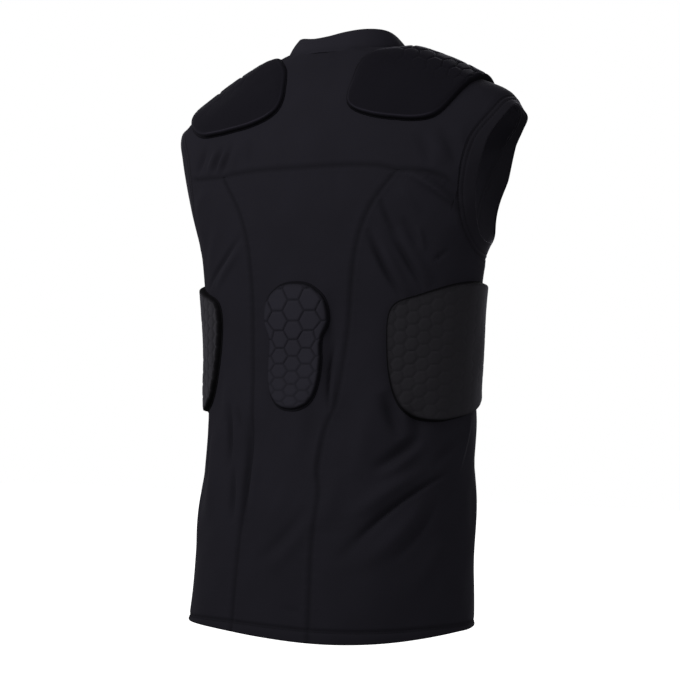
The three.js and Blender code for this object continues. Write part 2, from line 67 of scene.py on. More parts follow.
ARM_SEAM_REACH = 9.0       # how far from the armhole seams and the neck seam that holds
PAINTED_SEAM_SHADE_WIDTH = 3.4           # half width of the painted shade along a seam
NEEDLE_DENT, NEEDLE_WIDTH = 0.7, 1.5       # depth and half width of the dent along a row of stitches
PAINTED_HEM_SHADE = 0.7            # painted shade along the hem's stitches, as a share of a seam's
PUCKER_RISE = 0.09
PUCKER_AT = 4.0            # distance from a seam at which its puckers stand highest
PUCKER_WAVES = (7.3, 11.9, 19.0)           # wave lengths of the puckers along a seam
SECTION_POWER = 2.1        # 2 is an ellipse, more is squarer

# Torso sections from hem to neck: height at the side, rise of the back middle, rise of the front middle,
# half width, and the Y places of back, side and front.
SECTIONS = np.array([
    (-676, -6, 14, 184, 150, 26, -92),
    (-560, 0, 6, 179, 135, 15, -96),
    (-447, 0, 0, 178, 108, 8, -91),
    (-349, 0, 0, 184, 92, 7, -83),
    (-245, 0, 0, 194, 88, 8, -96),
    (-180, 0, 0, 215, 86, 5, -100),
    (-118, -2, -12, 236, 75, -1, -93),
    (-80, 5, -30, 238, 62, -9, -89),
    (-41, 7, -50, 176, 46, -9, -86),
    (-12, 3, -62, 110, 41, -8, -82),
    (0, -2, -60, 77, 41, -15, -80),
], float)
HEM = SECTIONS[0, 0]
NECK = 0.0
# The collar's top edge is one more section, at a height of its own.
COLLAR_TOP = np.array((0, -50, 66, 28, -17, -72), float)
COLLAR_HEIGHT = 18.5
COLLAR_SUNK = 0.16         # share of its height that the collar reaches down under the cloth
# Unevenness of the collar's top edge: angle in degrees, rise.
COLLAR_WAVE = np.array([
    (-180, -6), (-140, -9), (-120, -9.5), (-105, -7), (-90, -2.5), (-75, 1.5), (-60, 3.4), (-40, 3.4),
    (-20, 1), (0, -2.4), (20, -3.2), (45, 0), (75, 0), (105, -5), (130, -9), (180, -6),
], float)
# The hem hangs in shallow waves: how many round the body, their rise, where one is lowest in degrees, and
# over what height they fade out.
HEM_WAVES, HEM_WAVE_RISE, HEM_WAVE_LOW, HEM_WAVE_FADE = 3, 3.3, -33.0, 60.0

# Princess seams: height, half the distance between the two seams.
PRINCESS = np.array([
    (-676, 55), (-560, 52), (-460, 55), (-400, 61), (-330, 68),
    (-270, 72), (-228, 79), (-190, 95), (-150, 124),
], float)

# Yoke seam from the right armhole to the left one: angle in degrees, height. It lies level on the left.
YOKE_SEAM = np.array([
    (-58, -171), (-53, -162), (-46, -155), (-40, -152), (-33, -150), (-26, -144), (-15, -141), (0, -141),
    (15, -141), (26, -143.5), (33, -146), (44, -146.5), (52, -145.5), (57, -144),
], float)
YOKE_CORNER = 33.0         # where the princess seams meet the yoke seam, in degrees
CORNER_EASE = 12           # how late a princess line eases into that corner, as a power
# The right princess seam is pinched towards the middle: by how many degrees, at what height, half how high.
PINCH, PINCH_MIDDLE, PINCH_HALF = 2.6, -468.0, 40.0

# Armhole ovals: top and bottom heights and half angle; the middle line leans forward towards the bottom.
ARM_TOP, ARM_BOTTOM = -79.0, -232.0
ARM_ANGLE_TOP, ARM_ANGLE_BOTTOM = 90.0, 104.0
ARM_POWER = 2.4
ARM_EDGE = (ARM_TOP, ARM_BOTTOM, 29.0)
ARM_SEAM = (-69.0, -252.0, 39.5)
# Turns on an oval in degrees: 90 is its top, 180 its back, 270 its bottom.
TURN_YOKE_RIGHT, TURN_YOKE_LEFT = 189.6, 173.0
TURN_SIDE = 305.0
TURN_SHOULDER = 60.0
# Flare of the armhole's free edge: turn in degrees, how far it stands off the body line.
BAND_FLARE = np.array([(0, 7), (20, 4.5), (45, 3), (60, 3.5), (80, -3), (98, 2.5), (130, 1.6), (200, 0.8),
                       (250, 1.5), (280, 3.5), (305, 5.5), (330, 4.5), (345, 5), (360, 7)], float)

# Folds of the cloth: start angle and height, end angle and height, sideways bend, half width, rise and
# lean. Angles are degrees. A negative rise is a crease, and lean tips a fold over to one side.
FOLDS = [
    # pulls from the right princess seam down to the rib pad's corner
    (-26.5, -216, -44, -299, -3, 2.8, -4.4, 0.0),
    (-29.5, -216, -47, -296, -1, 5.0, 3.6, 0.0),
    (-34, -216, -53, -288, 0, 2.8, -3.8, 0.0),
    (-38, -216, -57, -282, -1, 6.0, 3.4, 0.0),
    (-29, -178, -40, -232, -3, 2.2, -2.6, 0.0),
    (-39, -204, -49, -240, -1, 3.6, -2.2, 0.0),
    (-46, -214, -52, -244, 0, 3.0, 2.0, 0.0),
    (-35, -172, -46, -203, 1, 3.0, 1.6, 0.0),
    (-56, -256, -65, -242, 1, 3.0, -1.4, 0.0),
    # the same on the left side
    (25, -216, 57, -282, 2.5, 3.2, -2.6, 0.0),
    (25, -227, 47, -282, 1.5, 5.0, 3.0, 0.0),
    (38, -200, 54, -262, -2, 8.0, 1.6, 0.0),
    # fullness below the yoke seam
    (-36, -152, -64, -197, 0, 4.0, 6.0, 0.0),
    (-40, -150, -64, -188, 1, 3.0, -2.2, 0.0),
    (41, -158, 58, -190, -2, 8.0, 1.4, 0.0),
    # creases between the shoulder pads and the armholes
    (-36, -108, -45, -148, 1, 4.0, -2.0, 0.0),
    (-40, -106, -50, -148, 1, 6.0, 2.0, 0.0),
    (-44, -104, -56, -150, 1, 4.0, -2.1, 0.0),
    (-50, -104, -60, -140, 1, 5.0, 1.4, 0.0),
    (42, -105, 50, -142, 1, 4.0, -2.8, 0.0),
    (35.5, -108, 41.5, -142, 1, 4.2, 3.6, 0.0),
    (33, -107, 38.5, -142, 0, 3.0, -2.4, 0.0),
    (30, -109, 35.5, -141, 0, 3.4, 3.0, 0.0),
    (28.5, -105, 35, -147, 1, 2.8, -2.2, 0.0),
    (25, -104, 28, -142, -1, 4.6, 2.2, 0.0),
    (21, -102, 20.5, -134, 0, 3.4, -1.6, 0.0),
    (-10, -118, -14, -206, 1, 3.0, -0.6, 0.0),
    # pinched cloth between the spine pad and the right princess seam
    (-13.5, -285, -15, -430, 0, 5.5, -4.5, 0.0),
    (-15.5, -345, -17, -430, -3.5, 1.7, -2.4, 0.0),
    (-17.5, -345, -19.5, -436, -3.5, 3.0, 2.2, 0.0),
    (-14, -440, -14, -505, -2, 3.0, 1.6, 0.0),
    (-10, -395, -9, -490, 0, 8.0, -2.6, 0.0),
    (20, -428, 14.5, -572, 0, 5.0, -6.5, 0.0),
    # the cloth steps in under the right rib pad, and creases under both
    (-35, -390, -33, -505, 0, 14.0, 3.0, 0.0),
    (-56, -395, -54, -505, 0, 14.0, -3.0, 0.0),
    (-38, -402, -48, -456, 0, 6.5, -6.0, 0.0),
    (-45, -410, -54, -456, 0, 5.0, 1.6, 0.0),
    (-50, -418, -58, -452, 1, 4.0, -1.8, 0.0),
    (-32, -420, -31, -500, 0, 8.0, 1.8, 0.0),
    (28.5, -420, 24, -450, 0, 2.8, -1.8, 0.0),
    (34, -416, 29, -494, 0, 4.0, -5.0, 0.0),
    (26.5, -490, 22, -556, 0, 4.0, -4.6, 0.0),
    (37, -376, 36, -440, 0, 8.0, 2.0, 0.0),
    (48, -455, 40, -560, 2, 13.0, 3.0, 0.0),
    (60, -425, 50, -505, 2, 8.0, 1.4, 0.0),
    (56, -440, 46, -520, 2, 5.0, -1.8, 0.0),
    (66, -505, 54, -590, 0, 9.0, 2.0, 0.0),
    # the long slanting drapes of the lower right back
    (-58, -450, -37, -493, 0, 6.5, -5.0, 0.0),
    (-61, -459, -39, -500, 2, 7.0, 3.2, 0.0),
    (-62, -488, -29, -550, -5, 9.0, 4.6, 0.0),
    (-77, -492, -33.5, -572, -12, 3.2, -4.4, 0.0),
    (-49, -524, -26, -596, -1, 6.0, -2.6, 0.0),
    (-64, -517, -32, -602, 6, 10.0, 3.6, 0.0),
    (-70, -523, -48, -592, 3, 5.0, -2.6, 0.0),
    (-78, -560, -58, -630, -3, 12.0, 2.6, 0.3),
    (-97, -430, -80, -504, -1, 5.0, 2.4, 0.0),
    (-87, -450, -65, -487, -2, 6.0, -2.4, 0.0),
    (-24, -488, -20, -560, 0, 9.0, 3.2, 0.0),
    # fullness of the seat at the hem
    (-31, -545, -50, -700, -1, 28.0, 6.0, 0.0),
    (-22, -560, -26, -700, 0, 20.0, 3.4, 0.0),
    # soft drapes in the middle of the lower back
    (-13, -530, 8, -600, 4, 6.0, -2.2, 0.0),
    (-17, -536, 1, -606, 4, 7.0, 2.4, 0.0),
    (-6, -495, 4, -565, 0, 8.0, 1.6, 0.0),
    (15, -465, 13, -552, 0, 7.0, 1.6, 0.0),
    (11, -470, 9, -548, 0, 5.0, -1.2, 0.0),
    (6, -435, 9, -505, 0, 8.0, 1.2, 0.0),
    (-5, -642, -15, -646, 0, 4.0, -0.9, 0.0),
    # fullness of the chest beside the armholes, and of the cloth over the right shoulder and the waist
    (-126, -115, -126, -255, 0, 24.0, 6.0, 0.0),
    (126, -115, 126, -255, 0, 24.0, 6.0, 0.0),
    (-58, -25, -122, -25, 0, 22.0, 3.4, 0.0),
    (-62, -62, -120, -62, 0, 13.0, 4.5, 0.0),
    (-122, -395, -122, -490, 0, 30.0, 3.6, 0.0),
    # soft drapes of the front and the sides, which the sleeveless cut lets fall from the chest
    (150, -250, 138, -330, 0, 14.0, 2.4, 0.0),
    (210, -250, 222, -330, 0, 14.0, 2.4, 0.0),
    (160, -420, 152, -560, 3, 16.0, 2.6, 0.0),
    (198, -400, 206, -540, -3, 16.0, 2.6, 0.0),
    (180, -470, 176, -600, 0, 18.0, 2.0, 0.0),
    (112, -470, 104, -600, 0, 14.0, 2.6, 0.0),
    (-114, -480, -106, -610, 0, 14.0, 2.6, 0.0),
]
FOLD_RADIUS = 130.0        # millimetres of cloth per radian, for measuring across a fold
PAINTED_CREASE_SHADE = 0.6         # painted shade in a crease that is as deep as its half width

# Unevenness of the whole cloth: waves round the torso, wave length upwards, rise, phase.
RIPPLES = [(9, 170.0, 0.30, 0.4), (14, -120.0, 0.22, 1.9), (5, 95.0, 0.28, 3.1), (21, 75.0, 0.12, 5.0)]

# Pads: how high the crown of a cell stands, how deep the grooves are, the width of a cell's rounded
# shoulder, the radius of the pad's outer edge, the painted shade in the grooves.
SPINE_RELIEF = (4.4, 1.6, 2.6, 2.6, 0.55)
RIB_RELIEF = (7.0, 1.4, 3.0, 2.4, 0.12)
SHOULDER_RELIEF = (7.5, 2.2, 3.0, 5.0, 0.2)
CELL_UNEVEN = 0.4          # how much the cells differ in height
CELL_MIX = (12.99, 78.23, 43758.55)        # multipliers that turn a cell's place into a number of its own
PAD_UNDER = 0.3            # the underside's clearance above the cloth
PAINTED_RIM_WIDTH = 2.3              # width of the painted shade where a pad is welded down
# Welded flange round a pad: its width on each pad, and its height.
SPINE_FLANGE, RIB_FLANGE, SHOULDER_FLANGE = 1.8, 1.6, 1.4
FLANGE_RISE = 0.7
# painted shade on a pad's flange and along its rim
PAINTED_FLANGE_SHADE = 0.9
PAINTED_GROOVE_SHADE_WIDTH = 1.1         # half width of the painted shade in a groove
# Grooves fade down the spine pad between two heights, forward on a rib pad, and away from a shoulder's
# ridge, there over a reach and down to a least share.
SPINE_GROOVES = (-300.0, -560.0)
RIB_GROOVES, RIB_LEAST = 60.0, 0.12
SHOULDER_GROOVES, SHOULDER_LEAST = 30.0, 0.03
# A shoulder pad thins out away from the ridge, over a reach and to a share of its height, and is sewn down
# there with a bead. Towards the neck its edge slopes off over a wider stretch, and a little so at its outer
# corner: that width, and the cosines of the direction from the centre at which it starts and is full.
SHOULDER_TAPER, SHOULDER_THIN = 70.0, 0.6
NECK_SLOPE, NECK_SLOPE_FROM, NECK_SLOPE_TO = 16.0, 0.5, 0.8
OUTER_SLOPE, OUTER_SLOPE_FROM, OUTER_SLOPE_TO = 6.0, 0.15, 0.5
OUTER_SLOPE_LOW = 40.0     # arc from the ridge at which the outer slope has its full width
RIM_SLOPED = 0.4           # the painted shade at the foot of a slope, as a share of that at a steep edge
BEAD_RISE, BEAD_AT, BEAD_WIDTH = 1.6, 2.8, 0.7
BEAD_PAINTED_HIGHLIGHT = 8.0            # painted highlight on the bead, as a share of a seam's painted darkness

# Spine pad: height, half width. It lies a little left of the middle, the more so the higher up.
SPINE_OFFSET, SPINE_LEAN = 3.2, 0.033
SPINE_OUTLINE = np.array([
    (-277.5, 8), (-280, 20), (-285, 29.5), (-292, 38), (-299, 42.3), (-307, 44.3), (-315, 45),
    (-322, 44.5), (-328, 42.8), (-334, 39.8), (-340, 37.2), (-350, 36), (-364, 37), (-376, 36.8),
    (-388, 35.8), (-399, 33.3), (-406, 30.5), (-413, 25.5), (-418.5, 19), (-422.5, 8),
], float)
SPINE_CENTRE = (0.0, -349.0)
# Its cells get smaller downwards: where the first one lies, its height, the ratio of the next one's height
# to it, and the spacing of the columns where the pad is widest. They narrow with it down to a lower height.
SPINE_FIRST, SPINE_PITCH, SPINE_SHRINK, SPINE_COLUMN = -283.7, 25.9, 0.89, 23.0
SPINE_WIDEST, SPINE_NARROWEST = -315.0, -399.0

# The vest sits a little turned on its wearer: how far forward and how high the left rib pad lies, and how
# far out the left and the right shoulder pad reach beyond the drawn outline.
RIB_LEFT_FORWARD, RIB_LEFT_UP = 11.0, 6.0
SHOULDER_LEFT_REACH, SHOULDER_RIGHT_REACH = 11.0, -17.0
REACH_POWER, REACH_MOST = 1.5, 1.1         # how that grows outwards from the pad's centre past its tip

# Rib pad: arc round the body from the pad's back edge, height. That edge's angle is in degrees, and the arc
# is measured at one level.
RIB_START, RIB_LEVEL, RIB_CELL = 39.0, -355.0, 15.0
RIB_POINTS = 600           # points along that arc
RIB_OUTLINE = np.array([
    (-3, -340), (-2, -314), (6, -302), (29, -294), (64, -283), (85, -279), (110, -278), (140, -281),
    (166, -289), (180, -303), (184, -332), (178, -362), (162, -389), (140, -408), (110, -424), (85, -431),
    (61, -435), (34, -430), (16, -414), (3, -382),
], float)

# Shoulder pad, one half: distance out from the middle, arc over the shoulder's ridge.
SHOULDER_CELL = 18.5
SHOULDER_OUTLINE = np.array([
    (93, 0), (86, 22), (64, 54), (52, 76), (48, 100), (47, 117), (51, 127.5), (63, 130), (84, 125),
    (109, 114), (138, 103), (163, 90), (178, 76), (190, 58), (199, 38), (205, 20), (206, 0),
], float)
SHOULDER_CENTRE = (140.0, 0.0)
# The ridge is followed between two heights, from the tip to where the neck would close. Lines down from it
# span these distances out, drop this far and are measured over this arc.
SHOULDER_TIP, NECK_CLOSED = -80.0, 27.0
RIDGE_SPAN, SHOULDER_DROP, SHOULDER_ARC = (40.0, 215.0), 150.0, 150.0
RIDGE_POINTS, RIDGE_LINES, LINE_POINTS = 800, 90, 80       # points of the ridge, lines, points of a line
JUST_INSIDE = 0.001        # keeps a place within the table of those lines

# Stitches of the double-needle lines.
STITCH_LENGTH, STITCH_GAP, STITCH_RADIUS = 2.6, 0.9, 0.28
STITCH_SIDES = 5
STITCH_ALONG = np.array([-1.0, -0.7, 0.0, 0.7, 1.0])       # rings of a stitch, in half lengths
STITCH_TAPER = np.array([0.35, 0.85, 1.0, 0.85, 0.35])     # their radii, in stitch radii
STITCH_STANDS = 0.7        # how far a stitch's middle stands off the cloth, in stitch radii
HEM_NEEDLES = (-1.3, 1.3)  # either side of the hem's depth
BAND_NEEDLES = (1.8, 7.0)  # from the armhole's seam

# Rows of the meshes, closer together where an edge is rounded: distances from the hem's edge, distances
# inside a pad's outline, and shares of the way up a band and the collar.
HEM_ROWS = np.concatenate([[0.0, 0.12, 0.4, 0.8, 1.4], np.arange(2.2, 19.0, 0.8)])
PAD_ROWS = np.array([0.12, 0.4, 0.8, 1.4, 2.2, 3.1, 4.2])
BAND_ROWS = np.concatenate([np.linspace(0, 0.9, 21), [0.935, 0.96, 0.98, 0.993, 1.0]])
COLLAR_ROWS = np.concatenate([[-COLLAR_SUNK], np.linspace(0, 0.88, 13), [0.92, 0.955, 0.98, 0.995, 1.0]])
BAND_STEP, COLLAR_STEP = 1.5, 1.25         # degrees between the columns of a band and of the collar
PAD_LIP_RINGS = 4          # rings over a pad's flange
PAD_INNERMOST = 0.02       # the innermost ring of a pad's top, as a share of its outline
PAD_UNDER_RINGS = (0.3, 0.65)              # and the inner rings of its underside
CURVE_POINTS = 4000        # points along an outline before it is evened out
SHARP_ANGLE = 45.0         # edges bent more than this many degrees are shaded as sharp

# Cloth finish, in millimetres and shares.
SHINE = 0.01               # mirror-like share of the cloth's reflection, which is next to none
FUZZ_LOSS = 1.2            # how fast the bloom goes towards a seam or a welded edge
BLOOM_TINT = "#f0eeff"
# the near-black colour that painted shade darkens the cloth towards
PAINTED_SHADE_COLOUR = "#060607"
COURSE_SHARE = 0.8         # courses per column of stitches
MOTTLE, LINT = 45.0, 2.2   # sizes of the slow changes of shade, and of the lint
LINT_HEIGHT = 0.5          # the lint's height as a share of the stitches'
BUMP_STRENGTH = 0.5
BANDS_PER_UNIT = 3.183     # bands in a unit of a wave texture of scale 1
THREAD_COLOUR = "#19181c"
THREAD_ROUGHNESS = 0.7
THREAD_TWIST, THREAD_BUMP = 0.8, 0.05

# Camera, in the photograph's frame of 680 pixels.
FRAME_PIXELS = 680
CAMERA_AZIMUTH = 35.0      # degrees from the back middle towards the wearer's right
CAMERA_DISTANCE = 2500.0
CAMERA_HEIGHT = -372.0
PIXELS_PER_MM = 0.84       # at the torso's axis
AXIS_COLUMN, HORIZON_ROW = 342.0, 365.0
SENSOR = 36.0

# Light: the height that the soft boxes face in metres, and how bright the white room glows from below and
# from above.
LIT_MIDDLE = 0.05
GLOW_BELOW, GLOW_ABOVE = 0.31, 0.34
# Soft boxes: azimuth from the camera to its left and elevation in degrees, distance and size in metres,
# watts.
SOFT_BOXES = {
    "key": (62, 21, 1.7, 1.0, 25),
    "fill": (-42, -4, 2.0, 1.2, 6),
    "front": (-155, 24, 2.6, 1.6, 34),
}
# Lamp in the middle of the chest: radius and height in metres, watts.
INNER_RADIUS, INNER_HEIGHT, INNER_WATTS = 0.05, -0.24, 0.85
# Floor: half its side and its level in metres.
FLOOR_HALF, FLOOR_LEVEL = 12.0, -1.45
FLOOR_COLOUR, FLOOR_ROUGHNESS = "#f3f3f3", 0.9
WHITE = "#ffffff"


def along_table(table, value):
    """Cubic interpolation of a table's later columns against its first one, straight past the ends.

    Each span blends its two rows and their slopes; a row's slope is the rise over the run of its
    neighbours.
    """
    table = table if table[0, 0] < table[-1, 0] else table[::-1]
    keys, rows = table[:, 0], table[:, 1:]
    index = np.arange(len(keys))
    before, after = np.maximum(index - 1, 0), np.minimum(index + 1, len(keys) - 1)
    slopes = (rows[after] - rows[before]) / (keys[after] - keys[before])[:, None]
    value = np.asarray(value, float)
    inside = np.clip(value, keys[0], keys[-1])
    span = np.clip(np.searchsorted(keys, inside, side="right") - 1, 0, len(keys) - 2)
    length = (keys[span + 1] - keys[span])[..., None]
    f = (inside - keys[span])[..., None] / length
    smooth = (2 * f**3 - 3 * f**2 + 1) * rows[span] + (f**3 - 2 * f**2 + f) * length * slopes[span]
    smooth = smooth + (3 * f**2 - 2 * f**3) * rows[span + 1] + (f**3 - f**2) * length * slopes[span + 1]
    end = np.where((value > inside)[..., None], slopes[-1], slopes[0])
    return smooth + (value - inside)[..., None] * end


def arc_length(points, axis=0):
    """Length along the lines of a grid of points, from 0 where each line starts."""
    lengths = np.linalg.norm(np.diff(points, axis=axis), axis=-1)
    return np.insert(np.cumsum(lengths, axis=axis), 0, 0, axis=axis)


def section_point(section, height, angle):
    """A point of a torso section: a superellipse whose back and front halves have their own depth.

    The back and front middles rise over the sides with the square of the cosine.
    """
    rise_back, rise_front, half_width, back, side, front = np.moveaxis(section, -1, 0)
    s, c = np.sin(angle), np.cos(angle)
    k = (np.abs(s) ** SECTION_POWER + np.abs(c) ** SECTION_POWER) ** (-1 / SECTION_POWER)
    depth = np.where(c > 0, back - side, side - front)
    rise = np.where(c > 0, rise_back, rise_front)
    return np.stack([half_width * s * k, side + depth * c * k, height + rise * c**2], -1)


def form(angle, height):
    """The smooth torso surface, without folds or seams: the sections in the table, blended by height."""
    angle, height = np.broadcast_arrays(np.asarray(angle, float), np.asarray(height, float))
    return section_point(along_table(SECTIONS, height), height, angle)


def outward(angle, height, turn=0.002, step=0.5):
    """The form's outward normal: the way up crossed with the way round."""
    around = form(angle + turn, height) - form(angle - turn, height)
    up = form(angle, height + step) - form(angle, height - step)
    normal = np.cross(up, around)
    return normal / np.linalg.norm(normal, axis=-1, keepdims=True)


def angle_at(x, height):
    """The angle at which a section's back half is x from the middle: the superellipse, solved for it."""
    half_width = along_table(SECTIONS, height)[..., 2]
    share = np.clip(np.abs(x) / half_width, 0, 1 - 1e-9) ** SECTION_POWER
    return np.sign(x) * np.arctan((share / (1 - share)) ** (1 / SECTION_POWER))


def folds(angle, height):
    """Sum of the folds, and the painted shade of their creases.

    Each fold is a rounded ridge or crease along an arc on the unrolled cloth. Across it the rise falls
    off as exp(-x^2), x in half widths, tipped by lean; along it, it swells from nothing at the ends as a
    half sine. A crease gets painted shade, the darker the steeper it is.
    """
    rise, shade = np.zeros(np.shape(angle)), np.zeros(np.shape(angle))
    for start, start_height, end, end_height, bend, width, lift, lean in FOLDS:
        dx = np.radians(end - start) * FOLD_RADIUS
        dy = end_height - start_height
        length = np.hypot(dx, dy)
        turned = np.mod(angle - np.radians(start) + np.pi, 2 * np.pi) - np.pi
        px, py = turned * FOLD_RADIUS, height - start_height
        along = np.clip((px * dx + py * dy) / length**2, 0, 1)
        across = (px * dy - py * dx) / length - bend * 4 * along * (1 - along)
        x = across / width
        swell = np.sin(np.pi * along) * np.exp(-x**2)
        rise += lift * swell * (1 + lean * x)
        # painted shade in a crease
        shade += PAINTED_CREASE_SHADE * max(-lift / width, 0) * swell
    return rise, np.clip(shade, 0, 1)


def ripple(angle, height):
    """Low waves all over the cloth, a whole number of them round the torso."""
    return sum(rise * np.sin(turns * angle + 2 * np.pi * height / wave + phase)
               for turns, wave, rise, phase in RIPPLES)


def cloth(angle, height, offset=0.0):
    """A point at an offset outside the folded cloth."""
    rise = folds(angle, height)[0] + ripple(angle, height) + offset
    return form(angle, height) + outward(angle, height) * rise[..., None]


def painted_seam_shade(*distances):
    """Painted shade beside a seam: exp(-x^2) of a place's distance, 1 at the seam and 0 well away from it.
    """
    return np.exp(-(np.minimum.reduce(distances) / PAINTED_SEAM_SHADE_WIDTH) ** 2)


def seam_rise(distance, along):
    """Cloth beside a seam: drawn into a groove, rolled over the allowance, and puckered along the seam.

    Groove and roll are exp(-x^2) bells. The puckers are sines along the seam that grow and then die away
    from it, as x exp(1 - x).
    """
    groove = -SEAM_DEPTH * np.exp(-(distance / SEAM_WIDTH) ** 2)
    roll = SEAM_ROLL * np.exp(-((distance - SEAM_ROLL_AT) / SEAM_ROLL_WIDTH) ** 2)
    waves = sum(np.sin(2 * np.pi * along / wave + i) for i, wave in enumerate(PUCKER_WAVES))
    reach = distance / PUCKER_AT * np.exp(1 - distance / PUCKER_AT)
    return groove + roll + PUCKER_RISE * waves * reach


def needle_rise(distance, needles):
    """Dents that the stitch lines pull into the cloth, each an exp(-x^2) bell."""
    return sum(-NEEDLE_DENT * np.exp(-((distance - needle) / NEEDLE_WIDTH) ** 2) for needle in needles)


def rounded_edge(distance, wall):
    """How far both faces of a wall draw together near a free edge, so that the edge is a half circle."""
    share = np.clip(distance / (wall / 2), 0, 1)
    return wall / 2 * (1 - np.sqrt(1 - (1 - share) ** 2))


def grid_faces(rows, cols, close_rows=False, close_cols=False):
    """Quads of a grid of points that are numbered row by row."""
    r = np.arange(rows if close_rows else rows - 1)[:, None] * cols
    c = np.arange(cols if close_cols else cols - 1)[None, :]
    next_r, next_c = (r + cols) % (rows * cols), (c + 1) % cols
    return np.stack([r + c, r + next_c, next_r + next_c, next_r + c], -1).reshape(-1, 4)


def walls(base, normal, rise, wall, tuck):
    """Outer and inner grids of a wall: the base moved along its normals, drawn together by the tuck."""
    outer = base + normal * (rise - tuck)[..., None]
    inner = base + normal * (rise - wall + tuck)[..., None]
    return outer, inner


def shell(outer, inner, ring=False):
    """A walled sheet: the outer grid, then the inner one backwards, as one loop of rows.

    A ring closes on itself, and any other sheet gets a strip of faces at both ends.
    """
    loop = np.concatenate([outer, inner[::-1]])
    rows, cols = loop.shape[:2]
    faces = [grid_faces(rows, cols, close_rows=True, close_cols=ring)]
    if not ring:
        r = np.arange(rows // 2 - 1)
        cap = np.stack([r, r + 1, rows - 2 - r, rows - 1 - r], -1) * cols
        faces += [cap, cap[:, ::-1] + cols - 1]
    return loop.reshape(-1, 3), faces


def volume(points, faces):
    """Signed volume of a closed mesh, positive when its faces point outwards."""
    total = 0.0
    for face in faces:
        a = points[face[:, 0]]
        for i in range(1, face.shape[1] - 1):
            total += np.sum(a * np.cross(points[face[:, i]], points[face[:, i + 1]]))
    return total


def both_faces(values):
    """Values of a shell's points, from those of its outer grid."""
    return np.concatenate([values, values[::-1]]).reshape(-1, *values.shape[2:])


def add_object(name, data):
    """Puts data into the scene as an object at the origin."""
    made = bpy.data.objects.new(name, data)
    bpy.context.collection.objects.link(made)
    return made


def mesh_piece(name, points, faces, material, flat=None, seam=None):
    """A smooth mesh object from points in millimetres.

    flat gives each point's place on the unrolled cloth, and seam its painted shade, which darkens the
    colour at seams, creases and pad edges and, below zero, is a painted highlight.
    """
    if volume(points, faces) < 0:
        faces = [face[:, ::-1] for face in faces]
    corners = np.concatenate([face.ravel() for face in faces]).astype(np.int32)
    sizes = np.concatenate([np.full(len(face), face.shape[1]) for face in faces])
    starts = np.concatenate([[0], np.cumsum(sizes)[:-1]]).astype(np.int32)
    mesh = bpy.data.meshes.new(name)
    mesh.vertices.add(len(points))
    mesh.loops.add(len(corners))
    mesh.polygons.add(len(sizes))
    mesh.vertices.foreach_set("co", (points * MM).astype(np.float32).ravel())
    mesh.loops.foreach_set("vertex_index", corners)
    mesh.polygons.foreach_set("loop_start", starts)
    mesh.polygons.foreach_set("use_smooth", np.ones(len(sizes), bool))
    if flat is not None:
        layer = mesh.uv_layers.new(name="cloth")
        layer.data.foreach_set("uv", (flat[corners] * MM).astype(np.float32).ravel())
    if seam is not None:
        # the 'seam' attribute is painted shade, and a painted highlight where it is below zero
        mesh.attributes.new("seam", "FLOAT", "POINT").data.foreach_set("value", seam.astype(np.float32))
    mesh.update(calc_edges=True)
    mesh.validate()
    mesh.set_sharp_from_angle(angle=np.radians(SHARP_ANGLE))
    mesh.materials.append(material)
    return add_object(name, mesh)


def side_name(side):
    """The wearer's left is side 1 and the right is side -1."""
    return "left" if side > 0 else "right"


def dress(piece, cad_node=None):
    """A piece rides on the vest's one body, and may stand for a CAD node, whose part it hides."""
    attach(piece, "root")
    if cad_node:
        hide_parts(cad_node)
    return piece


# Materials

def linear(code):
    """An sRGB hex colour as linear red, green, blue and alpha."""
    srgb = np.array([int(code[i:i + 2], 16) for i in (1, 3, 5)]) / 255
    value = np.where(srgb <= 0.04045, srgb / 12.92, ((srgb + 0.055) / 1.055) ** 2.4)
    return (*value.tolist(), 1.0)


def node(tree, kind, settings, inputs):
    """Adds a node: settings are its own options, inputs are values or the sockets that feed it."""
    made = tree.nodes.new(kind)
    for name, value in settings.items():
        setattr(made, name, value)
    for name, value in inputs.items():
        if isinstance(value, bpy.types.NodeSocket):
            tree.links.new(value, made.inputs[name])
        else:
            made.inputs[name].default_value = value
    return made


def bare_material(name):
    """A new material and its node tree, which is empty."""
    material = bpy.data.materials.new(name)
    material.use_nodes = True
    material.node_tree.nodes.clear()
    return material, material.node_tree


